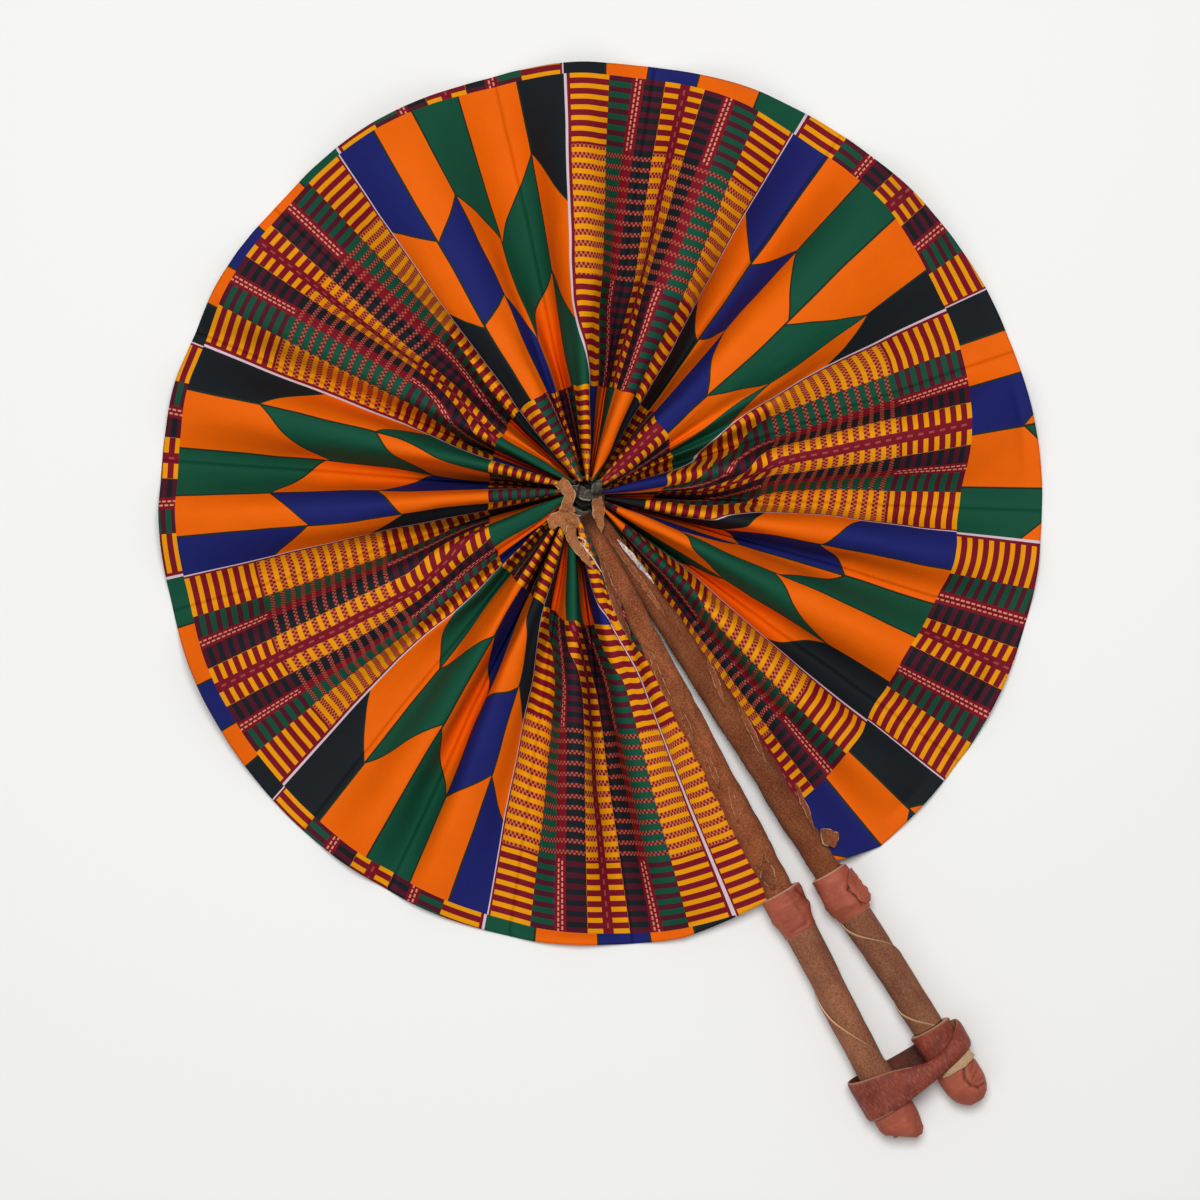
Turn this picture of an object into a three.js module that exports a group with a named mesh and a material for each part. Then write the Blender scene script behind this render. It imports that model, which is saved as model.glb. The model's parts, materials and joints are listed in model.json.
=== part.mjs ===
// A round cloth folding fan that opens a full circle between two leather-covered sticks.
// Lengths are in millimetres. The pivot is on the Z axis, the handles point along -Y and
// the open fan lies on the plane z = 0. Angles round the cloth run clockwise, seen from above,
// from the line half way between the handles.
import * as THREE from "three";

// Fits
const GAP = 0.3; // between pieces that touch
const LEATHER = 1.0; // thickness of the leather round the sticks
const RING_SIDES = 16;

// Where the two handles run
const HANDLE_OFFSET = 1.55; // at the pivot, from each handle's centre line to the line between them
const HANDLE_SHIFT = -1.95; // of both, off the pivot
const HANDLE_HALF_ANGLE = 2.8; // degrees from the line between the handles
const LEFT_LIFT = 5.5; // the left stick lies on top at the pivot
const RIGHT_DROP = 1.8; // and the right stick under it
const CROSSING_LENGTH = 78; // they keep those heights this far out
const LEVEL_LENGTH = 145; // and are level from here

// Sleeves along the cloth
const STICK_START = 6; // from the pivot to the sticks' inner ends
const SLEEVE_TIP_HALF_WIDTH = 2.6;
const SLEEVE_TIP_HALF_HEIGHT = 2.7;
const SLEEVE_HALF_WIDTH = { left: 5.6, right: 5.4 };
const SLEEVE_HALF_HEIGHT = 5.4;
const SLEEVE_FULL_LENGTH = 100; // the sleeve has its full width from here
const SLEEVE_PAST_RIM = { left: -0.5, right: 2.5 }; // the sleeves end about where the cloth does

// Collars, grips, band and caps, from the pivot outwards
const COLLAR_LENGTH = { left: 16, right: 18 };
const COLLAR_HALF_WIDTH = 8.4;
const COLLAR_HALF_HEIGHT = 7.3;
const GRIP_HALF_WIDTH = 6.3;
const GRIP_HALF_HEIGHT = 6.0;
const BAND_LENGTH = 18;
const BAND_HALF_WIDTH = 8.5;
const CAP_HALF_WIDTH = 8.4;
const CAP_HALF_HEIGHT = 7.5;
const CAP_LENGTH = 16;
const CAP_WALL = 4; // leather beyond the stick's end
const HANDLE_LENGTH = 281;

// The strap round both handles
const STRAP_THICKNESS = 1.3;
const STRAP_ROOM = 0.7; // between the strap and the caps that it slips over
const STRAP_STEPS = 48;
// Its two edges at six even steps from its left end over the front, back from the handles' tips
const STRAP_EDGES = [
  [31.5, 14.4],
  [28.5, 14.4],
  [24, 17],
  [31.5, 21],
  [30.5, 21.5],
  [30.5, 17],
];

// The cloth
const RIM_RADIUS = 172.8;
const RIM_CENTRE = { x: 3.8, y: -5.8 }; // the rim's circle sits a little off the pivot
const CLOTH_DEPTH = 1.2; // two layers of cotton and their seam
const CLOTH_SLACK = 1.01; // the cloth would lie flat at this many rim radii
const FULLEST_SPREAD = 0.99; // share of its own width that a panel ever reaches
const RIDGE_HEIGHT = 21.5; // of the folds above the valleys
const CENTRE_DIP = 0.3; // share of that height that the folds lose at the centre
const DIP_RADIUS = 38;
const GATHER_RADIUS = 8.4; // of the cloth's gathered edge
const FOLD_SOFTNESS = 0.6; // 0 is a sharp zigzag, 1 a round wave
// Ridge and far valley of each pleat, in degrees
const PLEATS = [
  [17.4, 24.1],
  [31.3, 40.0],
  [52.1, 56.8],
  [62.0, 70.4],
  [96.1, 104.7],
  [116.9, 125.1],
  [134.0, 143.1],
  [149.3, 163.0],
  [180.9, 197.9],
  [208.7, 219.4],
  [231.2, 245.5],
  [256.4, 281.5],
  [288.8, 302.0],
  [309.5, 316.2],
  [326.2, 335.5],
  [343.6, 350.1],
];
const PANEL_STEPS = 4;
const RADIAL_STEPS = 9;

// The ties at the centre
const CORD_RADIUS = 0.7;
const CORD_STEPS = 32;
const CORD_SIDES = 8;
const KNOT_ROOM = 0.5; // between the knot and the sticks' ends
const KNOT_HEIGHT = 10.3;
const TIE_RADIUS = 1.5;
const TIE_STEPS = 20;
const TIE_PANEL_WIDTH = 31; // of the folds that it lies on
const TIE_ROUTE = [
  [-6.7, 10.3],
  [-5.8, 2.3],
  [-10.9, -2.6],
  [-12.0, -10.6],
  [-11.2, -24.6],
];
// Patches of leather: how far before the sleeve's end they start and stop, and their angles round it
const TAB_THICKNESS = 1.3;
const LEFT_KNOT = { span: [17.3, 5.3], angles: [60, 150] };
const RIGHT_TAB = { span: [17.3, 7.3], angles: [30, 110] };
const LOOP_LENGTH = 9;
const LOOP_THICKNESS = 1.2;

const MATERIALS = {
  wood: { color: "#B58A5A", roughness: 0.7 },
  suede: { color: "#925C3E", roughness: 0.9 },
  red_leather: { color: "#A5503F", roughness: 0.6 },
  dark_leather: { color: "#2E241F", roughness: 0.8 },
  cord: { color: "#8A6A4C", roughness: 0.85 },
  cotton: { color: "#E8730A", roughness: 0.85 },
};

const fan = new THREE.Group();
const SIDES = { left: -1, right: 1 };
const SLEEVE_LENGTH = {
  left: RIM_RADIUS + SLEEVE_PAST_RIM.left,
  right: RIM_RADIUS + SLEEVE_PAST_RIM.right,
};

function radians(degrees) {
  return (degrees * Math.PI) / 180;
}

function mix(from, to, share) {
  return from + (to - from) * share;
}

// Smooth rise from 0 to 1 between two distances
function rise(value, start, end) {
  const t = Math.min(Math.max((value - start) / (end - start), 0), 1);
  return t * t * (3 - 2 * t);
}

// The axis of the grips is as high as the strap's underside needs
const GRIP_HEIGHT = CAP_HALF_HEIGHT + STRAP_ROOM + STRAP_THICKNESS;

// Distance of a handle's centre line from the line between the handles
function spread(distance) {
  return HANDLE_OFFSET + Math.tan(radians(HANDLE_HALF_ANGLE)) * distance;
}

// Where a handle's centre line is across
function axisAcross(side, distance) {
  return SIDES[side] * spread(distance) + HANDLE_SHIFT;
}

function axisHeight(side, distance) {
  const off = side === "left" ? LEFT_LIFT : -RIGHT_DROP;
  return GRIP_HEIGHT + off * (1 - rise(distance, CROSSING_LENGTH, LEVEL_LENGTH));
}

function sleeveHalfWidth(side, distance) {
  const full = rise(distance, -SLEEVE_FULL_LENGTH, SLEEVE_FULL_LENGTH) * 2 - 1;
  const start = rise(STICK_START, -SLEEVE_FULL_LENGTH, SLEEVE_FULL_LENGTH) * 2 - 1;
  const share = (full - start) / (1 - start);
  return mix(SLEEVE_TIP_HALF_WIDTH, SLEEVE_HALF_WIDTH[side], share);
}

function sleeveHalfHeight(distance) {
  return mix(SLEEVE_TIP_HALF_HEIGHT, SLEEVE_HALF_HEIGHT, rise(distance, CROSSING_LENGTH, LEVEL_LENGTH));
}

// A closed mesh from positions and triangles, with its faces turned outwards
function addSolid(name, points, triangles, materialName) {
  let volume = 0;
  for (const [a, b, c] of triangles) {
    volume += points[a].dot(new THREE.Vector3().crossVectors(points[b], points[c]));
  }
  const geometry = new THREE.BufferGeometry();
  geometry.setFromPoints(points);
  geometry.setIndex(triangles.flatMap(([a, b, c]) => (volume > 0 ? [a, b, c] : [a, c, b])));
  geometry.computeVertexNormals();
  const { color, roughness } = MATERIALS[materialName];
  const material = new THREE.MeshStandardMaterial({ color, roughness, metalness: 0 });
  const mesh = new THREE.Mesh(geometry, material);
  mesh.name = name;
  fan.add(mesh);
}

// Joins rings of equal length; a closed loft returns to its first ring, an open one is capped
function addLoft(name, rings, closed, materialName) {
  const sides = rings[0].length;
  const points = rings.flat();
  const triangles = [];
  const last = closed ? rings.length : rings.length - 1;
  for (let i = 0; i < last; i += 1) {
    const next = (i + 1) % rings.length;
    for (let j = 0; j < sides; j += 1) {
      const k = (j + 1) % sides;
      triangles.push([i * sides + j, i * sides + k, next * sides + k]);
      triangles.push([i * sides + j, next * sides + k, next * sides + j]);
    }
  }
  if (!closed) {
    for (const [ring, flip] of [[0, true], [rings.length - 1, false]]) {
      const centre = new THREE.Vector3();
      rings[ring].forEach((point) => centre.add(point));
      points.push(centre.divideScalar(sides));
      for (let j = 0; j < sides; j += 1) {
        const a = ring * sides + j;
        const b = ring * sides + ((j + 1) % sides);
        triangles.push(flip ? [b, a, points.length - 1] : [a, b, points.length - 1]);
      }
    }
  }
  addSolid(name, points, triangles, materialName);
}

// An oval ring square to a handle
function handleRing(side, distance, halfWidth, halfHeight) {
  const x = axisAcross(side, distance);
  const z = axisHeight(side, distance);
  return Array.from({ length: RING_SIDES }, (_, i) => {
    const angle = (2 * Math.PI * i) / RING_SIDES;
    return new THREE.Vector3(x + halfWidth * Math.cos(angle), -distance, z + halfHeight * Math.sin(angle));
  });
}

function evenly(start, end, steps) {
  return Array.from({ length: steps + 1 }, (_, i) => mix(start, end, i / steps));
}

// Half sizes of the wooden stick inside the leather
function stickHalfSizes(side, distance) {
  const cover = LEATHER + GAP;
  const atGrip = rise(distance, SLEEVE_LENGTH[side] - 10, SLEEVE_LENGTH[side]);
  const gripHalf = Math.min(GRIP_HALF_WIDTH, GRIP_HALF_HEIGHT);
  return [
    mix(sleeveHalfWidth(side, distance), gripHalf, atGrip) - cover,
    mix(sleeveHalfHeight(distance), gripHalf, atGrip) - cover,
  ];
}

// A leather tube on the stick: each station is a distance with the outer half sizes there
function addCover(name, side, stations, materialName) {
  const outer = stations.map(([distance, width, height]) => handleRing(side, distance, width, height));
  const inner = stations.map(([distance]) => {
    const [width, height] = stickHalfSizes(side, distance);
    return handleRing(side, distance, width + GAP, height + GAP);
  });
  addLoft(name, [...outer, ...inner.reverse()], true, materialName);
}

// Where each piece of a handle starts and ends, a gap apart
function handlePlaces(side) {
  const collarStart = SLEEVE_LENGTH[side] + GAP;
  const collarEnd = collarStart + COLLAR_LENGTH[side];
  const capStart = HANDLE_LENGTH - CAP_LENGTH;
  const bandStart = capStart - GAP - BAND_LENGTH;
  return {
    collarStart,
    collarEnd,
    gripStart: collarEnd + GAP,
    gripEnd: side === "left" ? capStart - GAP : bandStart - GAP,
    bandStart,
    bandEnd: capStart - GAP,
    capStart,
    stickEnd: HANDLE_LENGTH - CAP_WALL - GAP,
  };
}

function addStick(side) {
  const { stickEnd } = handlePlaces(side);
  const rings = evenly(STICK_START + GAP, stickEnd, 18).map((distance) => {
    const [width, height] = stickHalfSizes(side, distance);
    return handleRing(side, distance, width, height);
  });
  addLoft(`${side}_stick`, rings, false, "wood");
}

function addSleeve(side) {
  const stations = evenly(STICK_START, SLEEVE_LENGTH[side], 12).map((distance) => [
    distance,
    sleeveHalfWidth(side, distance),
    sleeveHalfHeight(distance),
  ]);
  addCover(`${side}_sleeve`, side, stations, "suede");
}

// The collar is widest towards the cloth on the left and in its middle on the right
function addCollar(side) {
  const { collarStart, collarEnd } = handlePlaces(side);
  const shares = side === "left" ? [1, 1, 0.95, 0.3, 0.1] : [0.55, 0.85, 1, 0.95, 0.15];
  const distances = evenly(collarStart, collarEnd, shares.length - 1);
  const stations = shares.map((share, i) => [
    distances[i],
    mix(GRIP_HALF_WIDTH, COLLAR_HALF_WIDTH, share),
    mix(GRIP_HALF_HEIGHT, COLLAR_HALF_HEIGHT, share),
  ]);
  addCover(`${side}_collar`, side, stations, "red_leather");
}

function addGrip(side) {
  const { gripStart, gripEnd } = handlePlaces(side);
  const stations = evenly(gripStart, gripEnd, 6).map((distance) => [
    distance,
    GRIP_HALF_WIDTH,
    GRIP_HALF_HEIGHT,
  ]);
  addCover(`${side}_grip`, side, stations, "suede");
}

function addBand() {
  const { bandStart, bandEnd } = handlePlaces("right");
  const stations = evenly(bandStart, bandEnd, 3).map((distance) => [
    distance,
    BAND_HALF_WIDTH,
    CAP_HALF_HEIGHT,
  ]);
  addCover("right_band", "right", stations, "red_leather");
}

// A cup over the stick's end: up the bore, over the lip and down the outside to the tip
function addCap(side) {
  const { capStart, stickEnd } = handlePlaces(side);
  const boreEnd = stickEnd + GAP;
  const bore = [boreEnd, capStart].map((distance) => {
    const [width, height] = stickHalfSizes(side, Math.min(distance, stickEnd));
    return handleRing(side, distance, width + GAP, height + GAP);
  });
  const profile = side === "left" ? [1, 1, 0.95, 0.68, 0.32] : [0.97, 1, 1, 0.8, 0.4];
  const distances = evenly(capStart, HANDLE_LENGTH, profile.length - 1);
  const outer = profile.map((share, i) =>
    handleRing(side, distances[i], CAP_HALF_WIDTH * share, CAP_HALF_HEIGHT * share),
  );
  addLoft(`${side}_cap`, [...bore, ...outer], false, "red_leather");
}

// A bent patch of leather on the sleeve, from one angle round it to another
function addPatch(name, side, { span, angles }) {
  const [start, end] = span.map((back) => SLEEVE_LENGTH[side] - back);
  const rings = evenly(start, end, 3).map((distance) => {
    const layers = [GAP, GAP + TAB_THICKNESS].map((lift) => {
      const width = sleeveHalfWidth(side, distance) + lift;
      const height = sleeveHalfHeight(distance) + lift;
      return evenly(...angles, 6).map((angle) => {
        const turn = radians(angle);
        return new THREE.Vector3(
          axisAcross(side, distance) + width * Math.cos(turn),
          -distance,
          axisHeight(side, distance) + height * Math.sin(turn),
        );
      });
    });
    return [...layers[0], ...layers[1].reverse()];
  });
  addLoft(name, rings, false, "suede");
}

// How far across the cloth's end edge lies, beside a stick
function edgeAcross(side, distance) {
  return axisAcross(side, distance) + SIDES[side] * (sleeveHalfWidth(side, distance) + GAP);
}

// Angle that each stick takes of the gathered edge
const GATHER_START = {
  left: Math.asin(Math.abs(edgeAcross("left", STICK_START)) / GATHER_RADIUS),
  right: Math.asin(Math.abs(edgeAcross("right", STICK_START)) / GATHER_RADIUS),
};

// The rim's distance from the pivot at an angle
function rimRadius(angle) {
  const outX = -Math.sin(angle);
  const outY = -Math.cos(angle);
  const along = RIM_CENTRE.x * outX + RIM_CENTRE.y * outY;
  const across = RIM_CENTRE.x * outY - RIM_CENTRE.y * outX;
  return along + Math.sqrt(RIM_RADIUS ** 2 - across ** 2);
}

// A fold is a line from the gathered edge to the rim, with a height along it
function foldAt(degrees, shift, heightAt) {
  const outer = radians(degrees);
  const inner = mix(GATHER_START.left, 2 * Math.PI - GATHER_START.right, degrees / 360);
  const start = new THREE.Vector2(-Math.sin(inner), -Math.cos(inner)).multiplyScalar(GATHER_RADIUS);
  const end = new THREE.Vector2(-Math.sin(outer), -Math.cos(outer)).multiplyScalar(rimRadius(outer));
  const side = end.clone().sub(start).normalize().rotateAround(new THREE.Vector2(), -Math.PI / 2);
  return (share) => {
    const place = start.clone().lerp(end, share);
    const height = heightAt(place.length());
    place.addScaledVector(side, shift);
    return new THREE.Vector3(place.x, place.y, height);
  };
}

// The cloth's end edge runs beside a stick, at half the stick's height
function edgeAt(side) {
  const start = Math.sqrt(GATHER_RADIUS ** 2 - edgeAcross(side, STICK_START) ** 2);
  const end = SLEEVE_LENGTH.left - GAP;
  return (share) => {
    const distance = mix(start, end, share);
    return new THREE.Vector3(
      edgeAcross(side, distance),
      -distance,
      axisHeight(side, distance) + CLOTH_DEPTH / 2,
    );
  };
}

// A panel keeps its width from the centre to the rim, so its fold sinks as the circle widens
function foldHeight(panelWidth, distance) {
  const share = Math.min(distance / (CLOTH_SLACK * RIM_RADIUS), FULLEST_SPREAD);
  const free = panelWidth * Math.sqrt(1 - share ** 2);
  const top = Math.min(RIDGE_HEIGHT, panelWidth);
  const limited = (free * top) / Math.hypot(free, top);
  return limited * (1 - CENTRE_DIP * (1 - rise(distance, GATHER_RADIUS, DIP_RADIUS)));
}

// Clockwise angle of a point round the pivot, from the line between the handles
function clockwise(point) {
  const angle = Math.atan2(-point.x, -point.y);
  return angle < 0 ? angle + 2 * Math.PI : angle;
}

// A point between two folds, on the arc round the pivot that joins them
function between(from, to, across) {
  const angle = mix(clockwise(from), clockwise(to), across);
  const distance = mix(Math.hypot(from.x, from.y), Math.hypot(to.x, to.y), across);
  const soft = mix(across, (1 - Math.cos(Math.PI * across)) / 2, FOLD_SOFTNESS);
  const height = mix(from.z, to.z, soft);
  return new THREE.Vector3(-distance * Math.sin(angle), -distance * Math.cos(angle), height);
}

function panelWidth(fromDegrees, toDegrees) {
  return CLOTH_SLACK * RIM_RADIUS * radians(toDegrees - fromDegrees);
}

// One pleat as a sheet with its top on the folds and its underside a cloth's depth lower
function addPleat(index, valleyBefore) {
  const [ridge, valley] = PLEATS[index];
  const first = index === 0;
  const last = index === PLEATS.length - 1;
  const valleyHeight = () => CLOTH_DEPTH;
  const width = 0.5 * (panelWidth(valleyBefore, ridge) + panelWidth(ridge, valley));
  const narrow = Math.min(panelWidth(valleyBefore, ridge), panelWidth(ridge, valley));
  const ridgeWidth = Math.min(width, 1.4 * narrow);
  const folds = [
    first ? edgeAt("left") : foldAt(valleyBefore, GAP / 2, valleyHeight),
    foldAt(ridge, 0, (distance) => CLOTH_DEPTH + foldHeight(ridgeWidth, distance)),
    foldAt(valley, last ? 0 : -GAP / 2, valleyHeight),
  ];
  if (last) {
    folds.push(edgeAt("right"));
  }
  const columns = (folds.length - 1) * PANEL_STEPS;
  const top = [];
  for (let i = 0; i <= RADIAL_STEPS; i += 1) {
    const share = Math.sin((Math.PI * i) / (2 * RADIAL_STEPS));
    for (let j = 0; j <= columns; j += 1) {
      const panel = Math.min(Math.floor(j / PANEL_STEPS), folds.length - 2);
      top.push(between(folds[panel](share), folds[panel + 1](share), j / PANEL_STEPS - panel));
    }
  }
  const under = top.map((point) => point.clone().setZ(point.z - CLOTH_DEPTH));
  const wide = columns + 1;
  const triangles = [];
  const offset = top.length;
  for (let i = 0; i < RADIAL_STEPS; i += 1) {
    for (let j = 0; j < columns; j += 1) {
      const [a, b, c, d] = [i * wide + j, i * wide + j + 1, (i + 1) * wide + j + 1, (i + 1) * wide + j];
      triangles.push([a, b, c], [a, c, d]);
      triangles.push([a + offset, c + offset, b + offset], [a + offset, d + offset, c + offset]);
    }
  }
  const border = [];
  for (let j = 0; j < columns; j += 1) border.push(j);
  for (let i = 0; i < RADIAL_STEPS; i += 1) border.push(i * wide + columns);
  for (let j = columns; j > 0; j -= 1) border.push(RADIAL_STEPS * wide + j);
  for (let i = RADIAL_STEPS; i > 0; i -= 1) border.push(i * wide);
  border.forEach((a, i) => {
    const b = border[(i + 1) % border.length];
    triangles.push([b, a, a + offset], [b, a + offset, b + offset]);
  });
  const number = String(index + 1).padStart(2, "0");
  addSolid(`pleat_${number}`, [...top, ...under], triangles, "cotton");
}

// Round the strap's stadium outline: x and z at a share of its length, off its inner face
function strapPoint(share, lift) {
  const radius = CAP_HALF_HEIGHT + STRAP_ROOM;
  const straight = spread(HANDLE_LENGTH - CAP_LENGTH / 2) + CAP_HALF_WIDTH + STRAP_ROOM - radius;
  const quarter = (Math.PI * radius) / 2;
  const length = 4 * quarter + 4 * straight;
  const walked = share * length;
  const out = radius + lift;
  if (walked < quarter || walked > length - quarter) {
    const turn = (walked > length / 2 ? walked - length : walked) / radius;
    return [-straight - out * Math.cos(turn), out * Math.sin(turn)];
  }
  if (walked < quarter + 2 * straight) {
    return [walked - quarter - straight, out];
  }
  if (walked < 3 * quarter + 2 * straight) {
    const turn = (walked - 2 * quarter - 2 * straight) / radius;
    return [straight + out * Math.cos(turn), -out * Math.sin(turn)];
  }
  return [3 * quarter + 3 * straight - walked, -out];
}

function addStrap() {
  const edges = new THREE.CatmullRomCurve3(
    STRAP_EDGES.map((edges) => new THREE.Vector3(...edges.map((back) => HANDLE_LENGTH - back), 0)),
    true,
  );
  const rings = Array.from({ length: STRAP_STEPS }, (_, i) => {
    const share = i / STRAP_STEPS;
    const { x: near, y: far } = edges.getPoint(share);
    const [inner, outer] = [0, STRAP_THICKNESS].map((lift) => {
      const [x, z] = strapPoint(share, lift);
      return { x: HANDLE_SHIFT + x, z: GRIP_HEIGHT + z };
    });
    return [
      new THREE.Vector3(inner.x, -near, inner.z),
      new THREE.Vector3(outer.x, -near, outer.z),
      new THREE.Vector3(outer.x, -far, outer.z),
      new THREE.Vector3(inner.x, -far, inner.z),
    ];
  });
  addLoft("strap", rings, true, "red_leather");
}

// The cord that gathers the cloth lies in the gap between the upper and the lower stick
function addGatherCord() {
  const ringRadius = GATHER_RADIUS - CORD_RADIUS - 2 * GAP;
  const leftUnder = axisHeight("left", 0) - SLEEVE_TIP_HALF_HEIGHT;
  const rightTop = axisHeight("right", 0) + SLEEVE_TIP_HALF_HEIGHT;
  const rings = Array.from({ length: CORD_STEPS }, (_, i) => {
    const around = (2 * Math.PI * i) / CORD_STEPS;
    return Array.from({ length: CORD_SIDES }, (_, j) => {
      const turn = (2 * Math.PI * j) / CORD_SIDES;
      const distance = ringRadius + CORD_RADIUS * Math.cos(turn);
      return new THREE.Vector3(
        distance * Math.cos(around),
        distance * Math.sin(around),
        mix(leftUnder, rightTop, 0.5) + CORD_RADIUS * Math.sin(turn),
      );
    });
  });
  addLoft("gather_cord", rings, true, "cord");
}

// The knotted thong under the pivot is turned flat where it meets the table
function addPivotKnot() {
  const radius = STICK_START - KNOT_ROOM;
  const profile = [
    [0.75, 0],
    [0.95, 0.12],
    [1, 0.35],
    [0.95, 0.6],
    [1, 0.8],
    [0.8, 1],
  ];
  const rings = profile.map(([share, rises]) =>
    Array.from({ length: RING_SIDES }, (_, i) => {
      const turn = (2 * Math.PI * i) / RING_SIDES;
      return new THREE.Vector3(
        share * radius * Math.cos(turn),
        share * radius * Math.sin(turn),
        rises * KNOT_HEIGHT,
      );
    }),
  );
  addLoft("pivot_knot", rings, false, "dark_leather");
}

// The thong lies on the folds from the far side of the centre hole along the left stick
function addCentreTie() {
  const top = (x, y) => CLOTH_DEPTH + foldHeight(TIE_PANEL_WIDTH, Math.hypot(x, y));
  const curve = new THREE.CatmullRomCurve3(
    TIE_ROUTE.map(([x, y]) => new THREE.Vector3(x, y, top(x, y) + TIE_RADIUS + GAP)),
  );
  const frames = curve.computeFrenetFrames(TIE_STEPS, false);
  const rings = evenly(0, 1, TIE_STEPS).map((share, i) => {
    const centre = curve.getPointAt(share);
    return Array.from({ length: CORD_SIDES }, (_, j) => {
      const turn = (2 * Math.PI * j) / CORD_SIDES;
      return centre
        .clone()
        .addScaledVector(frames.normals[i], TIE_RADIUS * Math.cos(turn))
        .addScaledVector(frames.binormals[i], TIE_RADIUS * Math.sin(turn));
    });
  });
  addLoft("centre_tie", rings, false, "suede");
}

// A short strip of leather on top of the right stick, beside the left one
function addCentreLoop() {
  const start = GATHER_RADIUS;
  const rings = evenly(start, start + LOOP_LENGTH, 4).map((distance) => {
    const low = axisHeight("right", distance) + sleeveHalfHeight(distance) + GAP;
    const inner = axisAcross("right", distance) - sleeveHalfWidth("left", distance) / 2;
    const outer = axisAcross("right", distance) + sleeveHalfWidth("right", distance) - GAP;
    return [
      new THREE.Vector3(inner, -distance, low),
      new THREE.Vector3(outer, -distance, low),
      new THREE.Vector3(outer, -distance, low + LOOP_THICKNESS),
      new THREE.Vector3(inner, -distance, low + LOOP_THICKNESS),
    ];
  });
  addLoft("centre_loop", rings, false, "suede");
}

for (const side of ["left", "right"]) {
  addStick(side);
  addSleeve(side);
  addCollar(side);
  addGrip(side);
  addCap(side);
}
addBand();
addPatch("left_knot", "left", LEFT_KNOT);
addPatch("right_tab", "right", RIGHT_TAB);
addGatherCord();
addPivotKnot();
addCentreTie();
addCentreLoop();
PLEATS.forEach((_, index) => addPleat(index, index > 0 ? PLEATS[index - 1][1] : 0));
addStrap();

export default fan;
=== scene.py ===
"""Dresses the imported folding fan: printed cotton pleats, leather-wrapped handles and their strap.

The fan lies open on a pale floor, seen from straight above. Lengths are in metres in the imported
part's own frame: the pivot is on the Z axis and the handles point along -Y.
"""

from __future__ import annotations

import json
import logging
from collections.abc import Callable, Sequence
from dataclasses import dataclass, field
from enum import Enum
from math import (
    asin, atan, ceil, copysign, cos, degrees, dist, exp, pi, radians, sin, sqrt, tan, tau,
)

import bmesh
import bpy
from bpy.types import Material, Node, NodeSocket, NodeTree, Object
from mathutils import Matrix, Vector, noise
from mathutils.bvhtree import BVHTree

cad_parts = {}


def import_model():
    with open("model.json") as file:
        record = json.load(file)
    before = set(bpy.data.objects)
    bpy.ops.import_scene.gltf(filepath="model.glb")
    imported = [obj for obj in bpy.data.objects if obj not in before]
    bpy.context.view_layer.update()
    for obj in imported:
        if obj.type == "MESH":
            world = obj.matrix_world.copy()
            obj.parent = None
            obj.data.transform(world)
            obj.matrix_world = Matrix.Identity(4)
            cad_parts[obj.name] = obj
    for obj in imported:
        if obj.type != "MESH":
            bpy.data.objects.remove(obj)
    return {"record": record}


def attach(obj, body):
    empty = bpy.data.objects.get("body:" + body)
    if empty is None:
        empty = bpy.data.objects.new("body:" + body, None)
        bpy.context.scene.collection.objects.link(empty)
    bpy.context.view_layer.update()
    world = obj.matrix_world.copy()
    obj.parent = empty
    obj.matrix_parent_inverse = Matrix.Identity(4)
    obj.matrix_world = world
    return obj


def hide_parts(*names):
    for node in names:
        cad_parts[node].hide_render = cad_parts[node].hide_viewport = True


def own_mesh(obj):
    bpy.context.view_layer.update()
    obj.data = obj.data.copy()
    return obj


log = logging.getLogger("folding_fan")

MM = 0.001
SOIL_AND_SHADE = "#130B08"  # painted shade of folds, creases and hollows, and the soil that handling leaves on leather

Pair = tuple[float, float]  # the two ends of a range, or the left handle's and the right one's
Row = Sequence[float]
Rows = Sequence[Row]
Strip = tuple[list[Vector], list[float]]  # points ring by ring, and 1 for each on a cut edge
Halves = Callable[[float], Row]


class Side(Enum):
    """One of the fan's two handles, with the sign of its X."""

    LEFT = -1
    RIGHT = 1

    @property
    def label(self) -> str:
        """The side's name as the nodes use it."""
        return self.name.lower()

    @property
    def body(self) -> str:
        """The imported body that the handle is."""
        return f"{self.label}_handle"

    @property
    def index(self) -> int:
        """Its place in a pair of sizes, which name the left handle's first."""
        return 0 if self is Side.LEFT else 1


def mix(start: float, end: float, share: float) -> float:
    """The value at a share of the way from start to end."""
    return start + (end - start) * share


def rise(value: float, start: float, end: float) -> float:
    """Smooth step from 0 at start to 1 at end."""
    t = min(max((value - start) / (end - start), 0.0), 1.0)
    return t * t * (3 - 2 * t)


def read_rows(rows: Rows, place: float, eased: bool = False) -> list[float]:
    """Numbers at a place between rows of them that stand at 0, 1, 2 and so on.

    Args:
        rows: The rows, equally long.
        place: Where to read.
        eased: Whether the way from row to row starts and ends gently.

    Returns:
        The numbers there.
    """
    index = min(int(place), len(rows) - 2)
    share = rise(place, index, index + 1) if eased else place - index
    return [mix(a, b, share) for a, b in zip(rows[index], rows[index + 1])]


def read_table(table: Rows, place: float) -> float:
    """The value at a place, eased from entry to entry of a table.

    Args:
        table: Places in order, each with its value.
        place: Where to read.

    Returns:
        The value there, and past the end the last one.
    """
    for (left, low), (right, high) in zip(table, table[1:]):
        if place <= right:
            return mix(low, high, rise(place, left, right))
    return table[-1][1]


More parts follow.
